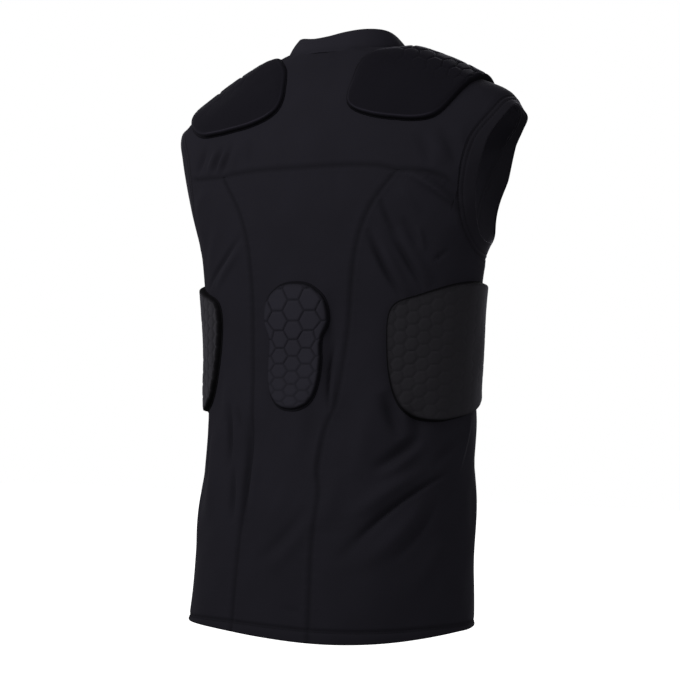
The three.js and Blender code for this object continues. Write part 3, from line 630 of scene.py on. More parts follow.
def knit_material(name, light, dark, roughness, column_mm, bump_mm, bloom, painted_shade_strength):
    """Warp-knitted stretch cloth: columns of stitches crossed by courses, with a slow change of shade.

    The columns are a sine along the flat cloth's width and the courses one along its length. Real columns
    are about 0.6 mm apart, too fine to show, so they are drawn two to three times as coarse. The 'seam'
    attribute is painted shade: it darkens the colour towards a near-black in seams, creases, grooves and
    along pads' welded edges, and where it is below zero it lightens the colour as a painted highlight. The
    bloom, a weight and a roughness, is the paler look that loose fibre ends give to cloth seen edge on;
    seams and welded edges have none.
    """
    material, tree = bare_material(name)
    place = node(tree, "ShaderNodeUVMap", {"uv_map": "cloth"}, {}).outputs["UV"]
    body = node(tree, "ShaderNodeTexCoord", {}, {}).outputs["Object"]
    scale = METRE / column_mm / BANDS_PER_UNIT
    columns = node(tree, "ShaderNodeTexWave", {"bands_direction": "X"}, {"Vector": place, "Scale": scale})
    courses = node(tree, "ShaderNodeTexWave", {"bands_direction": "Y"},
                   {"Vector": place, "Scale": scale * COURSE_SHARE})
    shade = node(tree, "ShaderNodeTexNoise", {}, {"Vector": body, "Scale": METRE / MOTTLE, "Detail": 3.0})
    lint = node(tree, "ShaderNodeTexNoise", {}, {"Vector": body, "Scale": METRE / LINT, "Detail": 2.0})
    loops = node(tree, "ShaderNodeMath", {"operation": "MULTIPLY"},
                 {0: columns.outputs["Fac"], 1: courses.outputs["Fac"]})
    height = node(tree, "ShaderNodeMath", {"operation": "MULTIPLY_ADD"},
                  {0: lint.outputs["Fac"], 1: LINT_HEIGHT, 2: loops.outputs["Value"]})
    bump = node(tree, "ShaderNodeBump", {}, {"Height": height.outputs["Value"], "Distance": bump_mm * MM,
                                             "Strength": BUMP_STRENGTH})
    colour = node(tree, "ShaderNodeMix", {"data_type": "RGBA"},
                  {"Factor": shade.outputs["Fac"], 6: linear(dark), 7: linear(light)})
    # painted shade from the 'seam' attribute darkens the colour, and below zero it is a painted highlight
    seam = node(tree, "ShaderNodeAttribute", {"attribute_name": "seam"}, {})
    painted_darkening = node(tree, "ShaderNodeMath", {"operation": "MULTIPLY"}, {0: seam.outputs["Fac"], 1: painted_shade_strength})
    colour = node(tree, "ShaderNodeMix", {"data_type": "RGBA", "clamp_factor": False},
                  {"Factor": painted_darkening.outputs["Value"], 6: colour.outputs[2], 7: linear(PAINTED_SHADE_COLOUR)})
    fuzz = node(tree, "ShaderNodeMath", {"operation": "MULTIPLY_ADD", "use_clamp": True},
                {0: seam.outputs["Fac"], 1: -FUZZ_LOSS * bloom[0], 2: bloom[0]})
    shader = node(tree, "ShaderNodeBsdfPrincipled", {}, {
        "Base Color": colour.outputs[2], "Roughness": roughness, "Specular IOR Level": SHINE,
        "Sheen Weight": fuzz.outputs["Value"], "Sheen Roughness": bloom[1],
        "Sheen Tint": linear(BLOOM_TINT), "Normal": bump.outputs["Normal"]})
    node(tree, "ShaderNodeOutputMaterial", {}, {"Surface": shader.outputs["BSDF"]})
    return material


def thread_material():
    """Spun polyester sewing thread: black with a little more shine than the cloth.

    Its twist is finer than a pixel and is drawn about three times as coarse.
    """
    material, tree = bare_material("spun_polyester_thread")
    body = node(tree, "ShaderNodeTexCoord", {}, {}).outputs["Object"]
    twist = node(tree, "ShaderNodeTexNoise", {}, {"Vector": body, "Scale": METRE / THREAD_TWIST})
    bump = node(tree, "ShaderNodeBump", {}, {"Height": twist.outputs["Fac"], "Distance": THREAD_BUMP * MM})
    shader = node(tree, "ShaderNodeBsdfPrincipled", {}, {
        "Base Color": linear(THREAD_COLOUR), "Roughness": THREAD_ROUGHNESS, "Specular IOR Level": 2 * SHINE,
        "Normal": bump.outputs["Normal"]})
    node(tree, "ShaderNodeOutputMaterial", {}, {"Surface": shader.outputs["BSDF"]})
    return material


# Each knit: lighter and darker colour, roughness, spacing of the columns and height of the stitches in
# millimetres, the bloom's weight and roughness, and how far the painted shade darkens its colour.
# Main cloth: polyester and elastane knit, black with a blue cast, dull.
KNIT = knit_material("polyester_elastane_knit", "#201f25", "#1d1c21", 0.8, 1.6, 0.10, (0.05, 0.3), 0.3)
# Collar: the same knit in a double layer, coloured paler than the body cloth as painted light, since its
# leaning face gets less light from the lamps.
COLLAR_KNIT_PAINTED_PALER = knit_material("double_knit_collar_painted_paler", "#232228", "#212026", 0.8, 1.6, 0.10, (0.05, 0.3), 0.3)
# Turned bands: the same knit, folded double and pressed, a little denser and darker.
BAND = knit_material("folded_knit_band", "#1f1e23", "#1c1b20", 0.8, 1.3, 0.08, (0.2, 0.3), 0.35)
# Pads: thin knit heat-laminated over foam, smoother and a little lighter than the body cloth.
LAMINATE = knit_material("knit_laminated_foam", "#27262d", "#25242a", 0.7, 1.1, 0.05, (0.02, 0.3), 0.8)
# Rib pads: the laminate with a brushed face, as dark as the body cloth from the front and pale edge on.
BRUSHED_LAMINATE = knit_material("brushed_knit_laminated_foam", "#222124", "#201f22", 0.8, 1.1, 0.05,
                                 (0.11, 0.54), 0.8)
# Shoulder pads: the same laminate with a denser, duller black face.
DULL_LAMINATE = knit_material("dull_knit_laminated_foam", "#16151a", "#141318", 0.8, 1.1, 0.05,
                              (0.16, 0.3), 0.7)
THREAD = thread_material()


# Seam lines

def steps(start, stop, count):
    """Values from start to stop in a number of even steps."""
    return np.linspace(start, stop, count + 1)


def hem_steps(count, length):
    """Shares of a border from the hem up: fine steps over the turned hem, then even ones."""
    fine = HEM_ROWS / length
    return np.concatenate([fine, np.linspace(fine[-1], 1, count)[1:]])


def joined(*stretches):
    """Border stretches end to end, each joint once."""
    return np.concatenate([stretches[0]] + [stretch[1:] for stretch in stretches[1:]])


def mirror(nodes):
    """Nodes on the other side of the back middle."""
    return nodes * (-1, 1)


def yoke_line(degrees):
    """Nodes of the yoke seam."""
    return np.stack([np.radians(degrees), along_table(YOKE_SEAM, degrees)[..., 0]], -1)


def corner(side):
    """The node where a princess seam meets the yoke seam."""
    return yoke_line(np.array(side * YOKE_CORNER))


def princess_line(side, share):
    """Nodes of a princess seam, from the hem at 0 to the yoke seam at 1.

    The seam keeps its distance from the middle, as tabled, and a high power of the share eases it into the
    corner. The right one is pinched by exp(-x^4) of the height.
    """
    end, end_height = corner(side)
    height = HEM + (end_height - HEM) * share
    angle = side * angle_at(along_table(PRINCESS, height)[..., 0], height)
    if side < 0:
        angle = angle + np.radians(PINCH) * np.exp(-((height - PINCH_MIDDLE) / PINCH_HALF) ** 4)
    miss = end - angle[-1]
    return np.stack([angle + miss * share**CORNER_EASE, height], -1)


def arm_oval(oval, turn):
    """Nodes of an armhole oval: a superellipse in angle and height round a leaning middle line."""
    top, bottom, half_angle = oval
    s, c = np.sin(np.radians(turn)), np.cos(np.radians(turn))
    height = (top + bottom) / 2 + (top - bottom) / 2 * np.sign(s) * np.abs(s) ** (2 / ARM_POWER)
    lean = (height - ARM_TOP) / (ARM_BOTTOM - ARM_TOP)
    middle = ARM_ANGLE_TOP + (ARM_ANGLE_BOTTOM - ARM_ANGLE_TOP) * lean
    angle = middle + half_angle * np.sign(c) * np.abs(c) ** (2 / ARM_POWER)
    return np.stack([np.radians(angle), height], -1)


# Where the front side seam and the forward shoulder seam end at the armhole.
SIDE_TOP = arm_oval(ARM_SEAM, np.array(TURN_SIDE))
SHOULDER_END = arm_oval(ARM_SEAM, np.array(TURN_SHOULDER))


def hem_line(start, stop, count):
    """Nodes along the hem between two angles."""
    angle = steps(start, stop, count)
    return np.stack([angle, np.full(count + 1, HEM)], -1)


def side_line(share):
    """Nodes of the front side seam, from the hem up to the armhole."""
    height = HEM + (SIDE_TOP[1] - HEM) * share
    return np.stack([np.full(len(share), SIDE_TOP[0]), height], -1)


def shoulder_line(count):
    """Nodes of the forward shoulder seam, from the armhole up to the neck."""
    height = steps(SHOULDER_END[1], NECK, count)
    return np.stack([np.full(count + 1, SHOULDER_END[0]), height], -1)


def arm_back(side, turn_end, count):
    """Nodes of an armhole's seam from the yoke seam's end to another turn."""
    start = TURN_YOKE_LEFT if side > 0 else TURN_YOKE_RIGHT
    return arm_oval(ARM_SEAM, steps(start, turn_end, count)) * (side, 1)


def yoke_side(side, count):
    """Nodes of the yoke seam from its corner to the armhole."""
    end = arm_back(side, TURN_SHOULDER, 1)[0]
    nodes = yoke_line(steps(side * YOKE_CORNER, np.degrees(end[0]), count))
    nodes[-1] = end
    return nodes


# Cloth panels

def patch(bottom, right, top, left, u, v):
    """Nodes between four borders: ruled one way, plus ruled the other, less the blend of the corners."""
    u, v = u[None, :, None], v[:, None, None]
    across = (1 - u) * left[:, None] + u * right[:, None]
    upward = (1 - v) * bottom[None] + v * top[None]
    low = (1 - u) * bottom[0] + u * bottom[-1]
    high = (1 - u) * top[0] + u * top[-1]
    return across + upward - (1 - v) * low - v * high


def border_distances(points):
    """Arc length along a grid from each point to its bottom, right, top and left borders."""
    left, bottom = arc_length(points, axis=1), arc_length(points, axis=0)
    return bottom, left[:, -1:] - left, bottom[-1:] - bottom, left


def seam_strength(angle, height):
    """A share for the seams' depth and painted shade: less beside the armholes and at the neck, 1
    elsewhere.

    The distance from the armhole seam is that seam's own superellipse formula, less 1, times its half
    height.
    """
    top, bottom, half_angle = ARM_SEAM
    turned = np.abs(np.mod(angle + np.pi, 2 * np.pi) - np.pi)
    lean = (height - ARM_TOP) / (ARM_BOTTOM - ARM_TOP)
    middle = np.radians(ARM_ANGLE_TOP + (ARM_ANGLE_BOTTOM - ARM_ANGLE_TOP) * lean)
    x = np.abs(turned - middle) / np.radians(half_angle)
    y = np.abs(height - (top + bottom) / 2) / ((top - bottom) / 2)
    off = ((x**ARM_POWER + y**ARM_POWER) ** (1 / ARM_POWER) - 1) * (top - bottom) / 2
    off = np.minimum(np.abs(off), NECK - height)
    return 1 - (1 - ARM_SEAM_SHARE) * np.exp(-(off / ARM_SEAM_REACH) ** 2)


def hem_depth(angle):
    """Depth of the turned hem: two slow waves of it round the body, deepest near the back and the front."""
    return HEM_DEPTH + HEM_SWING * np.cos(2 * (angle - np.radians(HEM_DEEPEST)))


def hem_hang(nodes):
    """Heights of nodes with the hem's waves, a cosine of the angle that fades upwards as exp(-x)."""
    angle, height = nodes[..., 0], nodes[..., 1]
    wave = np.cos(HEM_WAVES * (angle - np.radians(HEM_WAVE_LOW)))
    return height - HEM_WAVE_RISE * wave * np.exp(-(height - HEM) / HEM_WAVE_FADE)


def cloth_panel(name, cad_node, nodes, has_hem):
    """A panel's walled sheet: the form, with folds, seam grooves at its borders and a turned hem, and
    painted shade.

    Returns the piece, its outer grid with the normals, and each point's distance past the hem's stitches.
    """
    angle, height = nodes[..., 0], hem_hang(nodes)
    base, normal = form(angle, height), outward(angle, height)
    bottom, right, top, left = border_distances(base)
    strength = seam_strength(angle, height)
    rise, crease = folds(angle, height)
    rise += ripple(angle, height)
    rise += strength * (seam_rise(left, bottom) + seam_rise(right, bottom) + seam_rise(top, left))
    wall = np.full(rise.shape, CLOTH_WALL)
    tuck = np.zeros(rise.shape)
    shade = painted_seam_shade(left, right, top)
    if has_hem:
        depth = hem_depth(angle)
        inside = np.clip(bottom / depth, 0, 1)
        rise += HEM_BULGE * np.sin(np.pi * inside) + needle_rise(bottom - depth, HEM_NEEDLES)
        shade = np.maximum(shade, PAINTED_HEM_SHADE * painted_seam_shade(np.abs(bottom - depth)))
        wall = CLOTH_WALL + (HEM_WALL - CLOTH_WALL) * np.clip(depth + HEM_LAP - bottom, 0, 1)
        tuck = rounded_edge(bottom, wall)
    else:
        rise += strength * seam_rise(bottom, left)
        shade = np.maximum(shade, painted_seam_shade(bottom))
    # painted shade of the seams, the hem's stitches and the creases, which darkens the cloth's colour
    shade = np.maximum(shade * strength, crease)
    outer, inner = walls(base, normal, rise, wall, tuck)
    points, faces = shell(outer, inner)
    flat = np.stack([angle * FOLD_RADIUS, height], -1)
    piece = mesh_piece(name, points, faces, KNIT, both_faces(flat), both_faces(shade))
    dress(piece, cad_node)
    return piece, outer, normal, bottom - hem_depth(angle)


def centre_panel():
    """The middle back, between the princess seams, from the hem to the yoke seam."""
    cols, rows = 84, 250
    v = hem_steps(rows, corner(1)[1] - HEM)
    right, left = princess_line(-1, v), princess_line(1, v)
    hem = hem_line(right[0, 0], left[0, 0], cols)
    top = yoke_line(steps(-YOKE_CORNER, YOKE_CORNER, cols))
    nodes = patch(hem, left, top, right, steps(0, 1, cols), v)
    return cloth_panel("center_back_cloth", "back_center_panel", nodes, True)


def side_panel(side):
    """A side, from its princess seam round under the arm; its top follows the yoke seam and the armhole."""
    yoke_cols, arm_cols, rows = 76, 74, 262
    cols = yoke_cols + arm_cols
    v = hem_steps(rows, corner(side)[1] - HEM)
    seam = princess_line(side, v)
    top = joined(yoke_side(side, yoke_cols), arm_back(side, TURN_SIDE, arm_cols))
    hem = hem_line(seam[0, 0], side * SIDE_TOP[0], cols)
    nodes = patch(hem, side_line(v) * (side, 1), top, seam, steps(0, 1, cols), v)
    name = side_name(side)
    return cloth_panel(f"side_cloth_{name}", f"back_side_panel_{name}", nodes, True)


def yoke_panel():
    """The upper back and the shoulders; its foot follows one armhole, the yoke seam and the other one."""
    arm_cols, side_cols, middle_cols, rows = 62, 36, 90, 70
    right, left = (joined(yoke_side(side, side_cols), arm_back(side, TURN_SHOULDER, arm_cols))
                   for side in (-1, 1))
    middle = yoke_line(steps(-YOKE_CORNER, YOKE_CORNER, middle_cols))
    foot = joined(right[::-1], middle, left)
    seam = shoulder_line(rows)
    turn = steps(-1, 1, len(foot) - 1)
    # columns crowd together at the nape and fan out, so that they stay behind the armhole
    neck = np.stack([SHOULDER_END[0] * (turn + turn**3) / 2, np.full(len(turn), NECK)], -1)
    nodes = patch(foot, seam, neck, mirror(seam), (turn + 1) / 2, steps(0, 1, rows))
    return cloth_panel("yoke_cloth", "back_yoke", nodes, False)


def front_panel():
    """The front in one piece: each edge runs up the side seam, the armhole and the shoulder seam."""
    side_rows, arm_rows, shoulder_rows, cols = 76, 40, 36, 60
    rows = side_rows + arm_rows + shoulder_rows
    low = hem_steps(side_rows, SIDE_TOP[1] - HEM)
    arm = arm_oval(ARM_SEAM, steps(TURN_SIDE, 360 + TURN_SHOULDER, arm_rows))
    edge = joined(side_line(low), arm, shoulder_line(shoulder_rows))
    v = np.concatenate([low * side_rows, side_rows + np.arange(1, rows - side_rows + 1)]) / rows
    far = mirror(edge) + (2 * np.pi, 0)
    hem = hem_line(SIDE_TOP[0], 2 * np.pi - SIDE_TOP[0], cols)
    turn = steps(SHOULDER_END[0], 2 * np.pi - SHOULDER_END[0], cols)
    neck = np.stack([turn, np.full(cols + 1, NECK)], -1)
    nodes = patch(hem, far, neck, edge, steps(0, 1, cols), v)
    return cloth_panel("front_cloth", "front_panel", nodes, True)


# Bands

def armhole_band(side):
    """The turned armhole edge: a ring from the seam to the free edge, which flares off the body.

    Returns the piece, its outer grid with the normals, and each point's distance from the seam.
    """
    turn = np.arange(0, 360, BAND_STEP)
    seam, edge = arm_oval(ARM_SEAM, turn), arm_oval(ARM_EDGE, turn)
    share = BAND_ROWS[:, None, None]
    nodes = (seam + (edge - seam) * share) * (side, 1)
    angle, height = nodes[..., 0], nodes[..., 1]
    base, normal = form(angle, height), outward(angle, height)
    from_seam = arc_length(base)
    from_edge = from_seam[-1:] - from_seam
    around = np.linalg.norm(np.roll(base[0], -1, axis=0) - base[0], axis=-1)
    along = np.broadcast_to(np.cumsum(around), angle.shape)
    flare = along_table(BAND_FLARE, turn)[..., 0]
    rise = folds(angle, height)[0] + ripple(angle, height) + ARM_SEAM_SHARE * seam_rise(from_seam, along)
    rise += flare * share[..., 0] ** 2 + needle_rise(from_seam, BAND_NEEDLES)
    outer, inner = walls(base, normal, rise, BAND_WALL, rounded_edge(from_edge, BAND_WALL))
    points, faces = shell(outer, inner, ring=True)
    flat = np.stack([along, from_seam], -1)
    name = side_name(side)
    # painted shade along the band's seam
    shade = ARM_SEAM_SHARE * painted_seam_shade(from_seam)
    piece = mesh_piece(f"armhole_edge_{name}", points, faces, BAND, both_faces(flat), both_faces(shade))
    dress(piece, f"armhole_band_{name}")
    return piece, outer, normal, from_seam


def neckband():
    """The standing collar: a ring ruled from the neck seam to its top edge, bulged as a half sine."""
    angle = np.arange(0, 360, COLLAR_STEP) * np.pi / 180
    share = COLLAR_ROWS[:, None, None]
    foot = cloth(angle, np.full(angle.shape, NECK))
    turn = np.degrees(np.mod(angle + np.pi, 2 * np.pi) - np.pi)
    crest = section_point(COLLAR_TOP, COLLAR_HEIGHT + along_table(COLLAR_WAVE, turn)[..., 0], angle)
    base = foot + (crest - foot) * share
    around = np.roll(base, -1, axis=1) - np.roll(base, 1, axis=1)
    normal = np.cross(np.broadcast_to(crest - foot, base.shape), around) * (1, 1, 0)
    normal /= np.linalg.norm(normal, axis=-1, keepdims=True)
    from_foot = np.linalg.norm(base - foot, axis=-1)
    from_top = from_foot[-1:] - from_foot
    along = np.broadcast_to(angle * SECTIONS[-1, 3], from_foot.shape)
    standing = COLLAR_OVER + COLLAR_BULGE * np.sin(np.pi * share[..., 0])
    rise = np.where(share[..., 0] < 0, COLLAR_TUCKED, standing)
    rise = np.broadcast_to(rise, from_foot.shape)
    outer, inner = walls(base, normal, rise, COLLAR_WALL, rounded_edge(from_top, COLLAR_WALL))
    points, faces = shell(outer, inner, ring=True)
    flat = np.stack([along, from_foot], -1)
    # painted shade along the collar's seam
    shade = ARM_SEAM_SHARE * painted_seam_shade(from_foot)
    piece = mesh_piece("collar_cloth", points, faces, COLLAR_KNIT_PAINTED_PALER, both_faces(flat), both_faces(shade))
    return dress(piece, "neckband")


# Pads

def smooth_step(value, start, end):
    """A share that eases from 0 at the start to 1 at the end, as 3t^2 - 2t^3."""
    t = np.clip((value - start) / (end - start), 0, 1)
    return t**2 * (3 - 2 * t)


def closed_curve(points, count):
    """A smooth closed curve through points, resampled at equal arc lengths."""
    lead = 3
    around = np.concatenate([points[-lead:], points, points[:lead + 1]])
    chord = arc_length(around)
    wanted = np.linspace(chord[lead], chord[lead + len(points)], CURVE_POINTS)
    dense = along_table(np.column_stack([chord, around]), wanted)
    length = arc_length(dense)
    even = np.linspace(0, length[-1], count, endpoint=False)
    return np.stack([np.interp(even, length, dense[:, k]) for k in (0, 1)], -1)


def outline_distance(points, outline):
    """Distance from points to the nearest segment of a closed outline."""
    start, way = outline, np.roll(outline, -1, axis=0) - outline
    offset = points[:, None] - start
    share = np.clip((offset * way).sum(-1) / (way**2).sum(-1), 0, 1)
    return np.linalg.norm(offset - share[..., None] * way, axis=-1).min(1)


def honeycomb(u, v):
    """Distance to the nearest cell border, in cell heights, and a number from 0 to 1 for each cell.

    Columns of cells are 1 apart in u, cells are 1 apart in v, and odd columns lie half a cell off. A
    point's distance to a border is half the difference of its squared distances to the two cells' middles,
    over the distance between them. A cell's number is the fraction left by a large multiple of a sine.
    """
    width = np.sqrt(3) / 2
    column = np.round(u)[..., None] + np.repeat([-1, 0, 1], 3)
    shift = np.mod(column, 2) / 2
    row = np.round(v[..., None] - shift) + np.tile([-1, 0, 1], 3)
    x, y = column * width, row + shift
    reach = (u[..., None] * width - x) ** 2 + (v[..., None] - y) ** 2
    own = np.argmin(reach, axis=-1)[..., None]
    own_x, own_y, own_reach = (np.take_along_axis(a, own, -1) for a in (x, y, reach))
    apart = np.hypot(x - own_x, y - own_y)
    border = np.where(apart > 0, (reach - own_reach) / (2 * np.maximum(apart, 1e-9)), np.inf).min(-1)
    mix_x, mix_y, spread = CELL_MIX
    chance = np.mod(np.sin(own_x[..., 0] * mix_x + own_y[..., 0] * mix_y) * spread, 1)
    return border, chance


def pad_cover(name, cad_node, material, points, centre, relief, flange, cells, place, spokes, rings):
    """A foam pad: rings of its outline shrinking to the centre, with a rounded edge and pillowed cells.

    The edge rises as a quarter circle from a thin flange. A cell's shoulder falls to the grooves as a
    parabola. Where the pad is thin, a bead exp(-x^2) follows its edge. cells() gives, for each point, the
    distance to a cell's border, the share of the groove's depth, a number for the cell, the share of the
    pad's height and how much wider the edge is there. place() lays flat points on the cloth at a height.
    """
    crown, groove, shoulder, edge, painted_groove_shade = relief
    outline = closed_curve(points, spokes)
    radius = np.linalg.norm(outline - centre, axis=-1).mean()
    lip = steps(flange, 0, PAD_LIP_RINGS)
    lip[1] = flange - FLANGE_RISE / 2
    edge_rings = 1 + np.concatenate([lip[1:], -PAD_ROWS]) / radius
    share = joined(edge_rings, steps(edge_rings[-1], PAD_INNERMOST, rings))[:, None, None]
    flat = centre + (outline - centre) * share
    distance = np.stack([outline_distance(ring, outline) for ring in flat]) * np.sign(1 - share[..., 0])
    border, grooved, chance, thick, slope = cells(flat)
    edge_width = edge * thick + slope
    narrow = edge * thick / edge_width
    rounded = np.sqrt(1 - (1 - np.clip(distance / edge_width, 0, 1)) ** 2)
    pillow = 1 - (1 - np.clip(border / shoulder, 0, 1)) ** 2
    cell = crown * thick - groove * grooved * (1 - pillow) + CELL_UNEVEN * grooved * (chance - 0.5) * pillow
    bead = narrow * (1 - thick) * np.exp(-((distance - BEAD_AT) / BEAD_WIDTH) ** 2)
    height = FLANGE_RISE + rounded * (cell - FLANGE_RISE) + BEAD_RISE * bead
    under_share = np.array([*PAD_UNDER_RINGS, 1 + flange / radius])[:, None, None]
    under = centre + (outline - centre) * under_share
    top = place(flat, PAD_UNDER + height)
    base = place(under, np.full(under.shape[:2], PAD_UNDER))
    grid = np.concatenate([base, top])
    poles = np.stack([base[0].mean(0), top[-1].mean(0)])
    rows = len(grid)
    first, last = np.arange(spokes), (rows - 1) * spokes + np.arange(spokes)
    low, high = np.full(spokes, rows * spokes), np.full(spokes, rows * spokes + 1)
    fans = [np.stack([low, np.roll(first, -1), first], -1), np.stack([high, last, np.roll(last, -1)], -1)]
    faces = [grid_faces(rows, spokes, close_cols=True), *fans]
    spread = np.concatenate([under, flat]).reshape(-1, 2)
    spread = np.concatenate([spread, [centre, centre]])
    # painted shade: full over the flange and the hidden underside, fading in from the rim, less where the
    # edge slopes
    painted_rim_shade = np.where(distance > 0, np.exp(-(distance / PAINTED_RIM_WIDTH) ** 2), 1)
    shade = painted_rim_shade * PAINTED_FLANGE_SHADE * (RIM_SLOPED + (1 - RIM_SLOPED) * narrow)
    # painted shade in the cells' grooves
    shade = np.maximum(shade, painted_groove_shade * grooved * rounded * np.exp(-(border / PAINTED_GROOVE_SHADE_WIDTH) ** 2))
    # painted highlight along the bead, where the shade goes below zero
    shade = shade - BEAD_PAINTED_HIGHLIGHT * bead
    shade = np.concatenate([np.ones(under.shape[:2]), shade]).ravel()
    points = np.concatenate([grid.reshape(-1, 3), poles])
    piece = mesh_piece(name, points, faces, material, spread, np.append(shade, [1, 0]))
    dress(piece, cad_node)
    return piece


def spine_half(height):
    """Half width that the spine pad's columns of cells follow: the outline's, between two heights."""
    return along_table(SPINE_OUTLINE, np.clip(height, SPINE_NARROWEST, SPINE_WIDEST))[..., 0]


def spine_cells(flat):
    """What pad_cover() asks of its cells, for cells that shrink downwards.

    Each cell of a column is SPINE_SHRINK times as high as the one above it, so a place in the column is the
    logarithm of the height left, over that of the shrinking.
    """
    x, height = flat[..., 0], flat[..., 1]
    ratio = 1 - (SPINE_FIRST - height) * (1 - SPINE_SHRINK) / SPINE_PITCH
    v = np.log(ratio) / np.log(SPINE_SHRINK)
    u = x / (SPINE_COLUMN * spine_half(height) / spine_half(np.array(SPINE_WIDEST)))
    border, chance = honeycomb(u, v)
    fade = np.clip((height - SPINE_GROOVES[1]) / (SPINE_GROOVES[0] - SPINE_GROOVES[1]), 0, 1)
    return border * SPINE_PITCH * ratio, fade, chance, 1.0, 0.0


def spine_pad():
    """The pad on the middle of the back: its flat width is X, and it leans as it lies on the cloth."""
    half = SPINE_OUTLINE[:, ::-1]
    outline = np.concatenate([half, mirror(half[::-1])])

    def place(flat, offset):
        """Moved to the left, the more so the higher up."""
        shift = SPINE_OFFSET + SPINE_LEAN * (flat[..., 1] - SPINE_WIDEST)
        return cloth(angle_at(flat[..., 0] + shift, flat[..., 1]), flat[..., 1], offset)

    return pad_cover("spine_pad_cover", "spine_pad", LAMINATE, outline, np.array(SPINE_CENTRE),
                     SPINE_RELIEF, SPINE_FLANGE, spine_cells, place, spokes=300, rings=56)


def fall_off(distance, reach, least):
    """A share that falls from 1 at no distance to its least, as exp(-x^2)."""
    return least + (1 - least) * np.exp(-(distance / reach) ** 2)


def even_cells(flat, pitch, middle):
    """Border distance and a number for the cells of a regular honeycomb about a middle point."""
    u = (flat[..., 0] - middle[0]) / (pitch * np.sqrt(3) / 2)
    v = (flat[..., 1] - middle[1]) / pitch
    border, chance = honeycomb(u, v)
    return border * pitch, chance


def rib_pad(side):
    """A pad laid round the ribs: its flat width is arc length along the section at RIB_LEVEL."""
    turn = np.radians(steps(RIB_START, 180, RIB_POINTS))
    arc = arc_length(form(turn, np.full(len(turn), RIB_LEVEL)))
    middle = (RIB_OUTLINE.min(0) + RIB_OUTLINE.max(0)) / 2
    forward, up = (RIB_LEFT_FORWARD, RIB_LEFT_UP) if side > 0 else (0, 0)

    def place(flat, offset):
        """Arc read as an angle from the section; behind its start the angle goes on at the same rate."""
        along = flat[..., 0] + forward
        past = np.minimum(along, 0) / arc[1] * (turn[1] - turn[0])
        return cloth(side * (np.interp(along, arc, turn) + past), flat[..., 1] + up, offset)

    def cells(flat):
        """An even honeycomb with grooves that fade forward."""
        border, chance = even_cells(flat, RIB_CELL, middle)
        return border, fall_off(flat[..., 0], RIB_GROOVES, RIB_LEAST), chance, 1.0, 0.0

    name = side_name(side)
    return pad_cover(f"rib_pad_cover_{name}", f"rib_pad_{name}", BRUSHED_LAMINATE, RIB_OUTLINE, middle,
                     RIB_RELIEF, RIB_FLANGE, cells, place, spokes=340, rings=54)


def over_shoulder(out, over):
    """Angle and height of the cloth at a distance out and an arc length over the shoulder's ridge.

    For each distance out, a line of constant x is followed down from the ridge and its length added up;
    the table of those lengths is then read backwards, between its four nearest entries.
    """
    tall = np.linspace(SHOULDER_TIP, NECK_CLOSED, RIDGE_POINTS)
    wide = along_table(SECTIONS, tall)[..., 2]
    outs, shares = np.linspace(*RIDGE_SPAN, RIDGE_LINES), np.linspace(0, 1, LINE_POINTS)
    ridge = np.interp(outs, wide[::-1], tall[::-1])
    height = ridge[:, None] - SHOULDER_DROP * shares**2
    line = form(angle_at(outs[:, None], height), height)
    arcs = np.arange(SHOULDER_ARC + 1)
    back = np.stack([np.interp(arcs, row, shares) for row in arc_length(line, axis=1)])
    i = np.clip((out - outs[0]) / (outs[1] - outs[0]), 0, len(outs) - 1 - JUST_INSIDE)
    j = np.clip(np.abs(over), 0, SHOULDER_ARC - JUST_INSIDE)
    i0, j0 = i.astype(int), j.astype(int)
    fi, fj = i - i0, j - j0
    near = back[i0, j0] * (1 - fj) + back[i0, j0 + 1] * fj
    far = back[i0 + 1, j0] * (1 - fj) + back[i0 + 1, j0 + 1] * fj
    share = near * (1 - fi) + far * fi
    found = np.interp(out, wide[::-1], tall[::-1]) - SHOULDER_DROP * share**2
    angle = angle_at(out, found)
    return np.where(over < 0, np.pi - angle, angle), found


def shoulder_pad(side):
    """A pad laid over the shoulder, the same before and behind the ridge."""
    before_ridge = SHOULDER_OUTLINE[1:-1] * (1, -1)
    outline = np.concatenate([SHOULDER_OUTLINE, before_ridge[::-1]])
    middle = (outline.min(0) + outline.max(0)) / 2
    reach = SHOULDER_LEFT_REACH if side > 0 else SHOULDER_RIGHT_REACH
    inner, tip = SHOULDER_CENTRE[0], SHOULDER_OUTLINE[-1, 0]

    def place(flat, offset):
        """Stretched outwards from the centre by a power of the share of the way to the tip."""
        out = flat[..., 0]
        out = out + reach * np.clip((out - inner) / (tip - inner), 0, REACH_MOST) ** REACH_POWER
        angle, height = over_shoulder(out, flat[..., 1])
        return cloth(side * angle, height, offset)

    def cells(flat):
        """An even honeycomb with grooves and a height that fade away from the ridge."""
        over = flat[..., 1]
        border, chance = even_cells(flat, SHOULDER_CELL, middle)
        grooved = fall_off(over, SHOULDER_GROOVES, SHOULDER_LEAST)
        way = flat - SHOULDER_CENTRE
        neckward = -way[..., 0] / np.linalg.norm(way, axis=-1)
        slope = NECK_SLOPE * smooth_step(neckward, NECK_SLOPE_FROM, NECK_SLOPE_TO)
        low = np.clip(np.abs(over) / OUTER_SLOPE_LOW, 0, 1)
        slope += OUTER_SLOPE * low * smooth_step(-neckward, OUTER_SLOPE_FROM, OUTER_SLOPE_TO)
        return border, grooved, chance, fall_off(over, SHOULDER_TAPER, SHOULDER_THIN), slope

    name = side_name(side)
    return pad_cover(f"shoulder_pad_cover_{name}", f"shoulder_pad_{name}", DULL_LAMINATE, outline,
                     np.array(SHOULDER_CENTRE), SHOULDER_RELIEF, SHOULDER_FLANGE, cells, place,
                     spokes=360, rings=68)


# Stitches

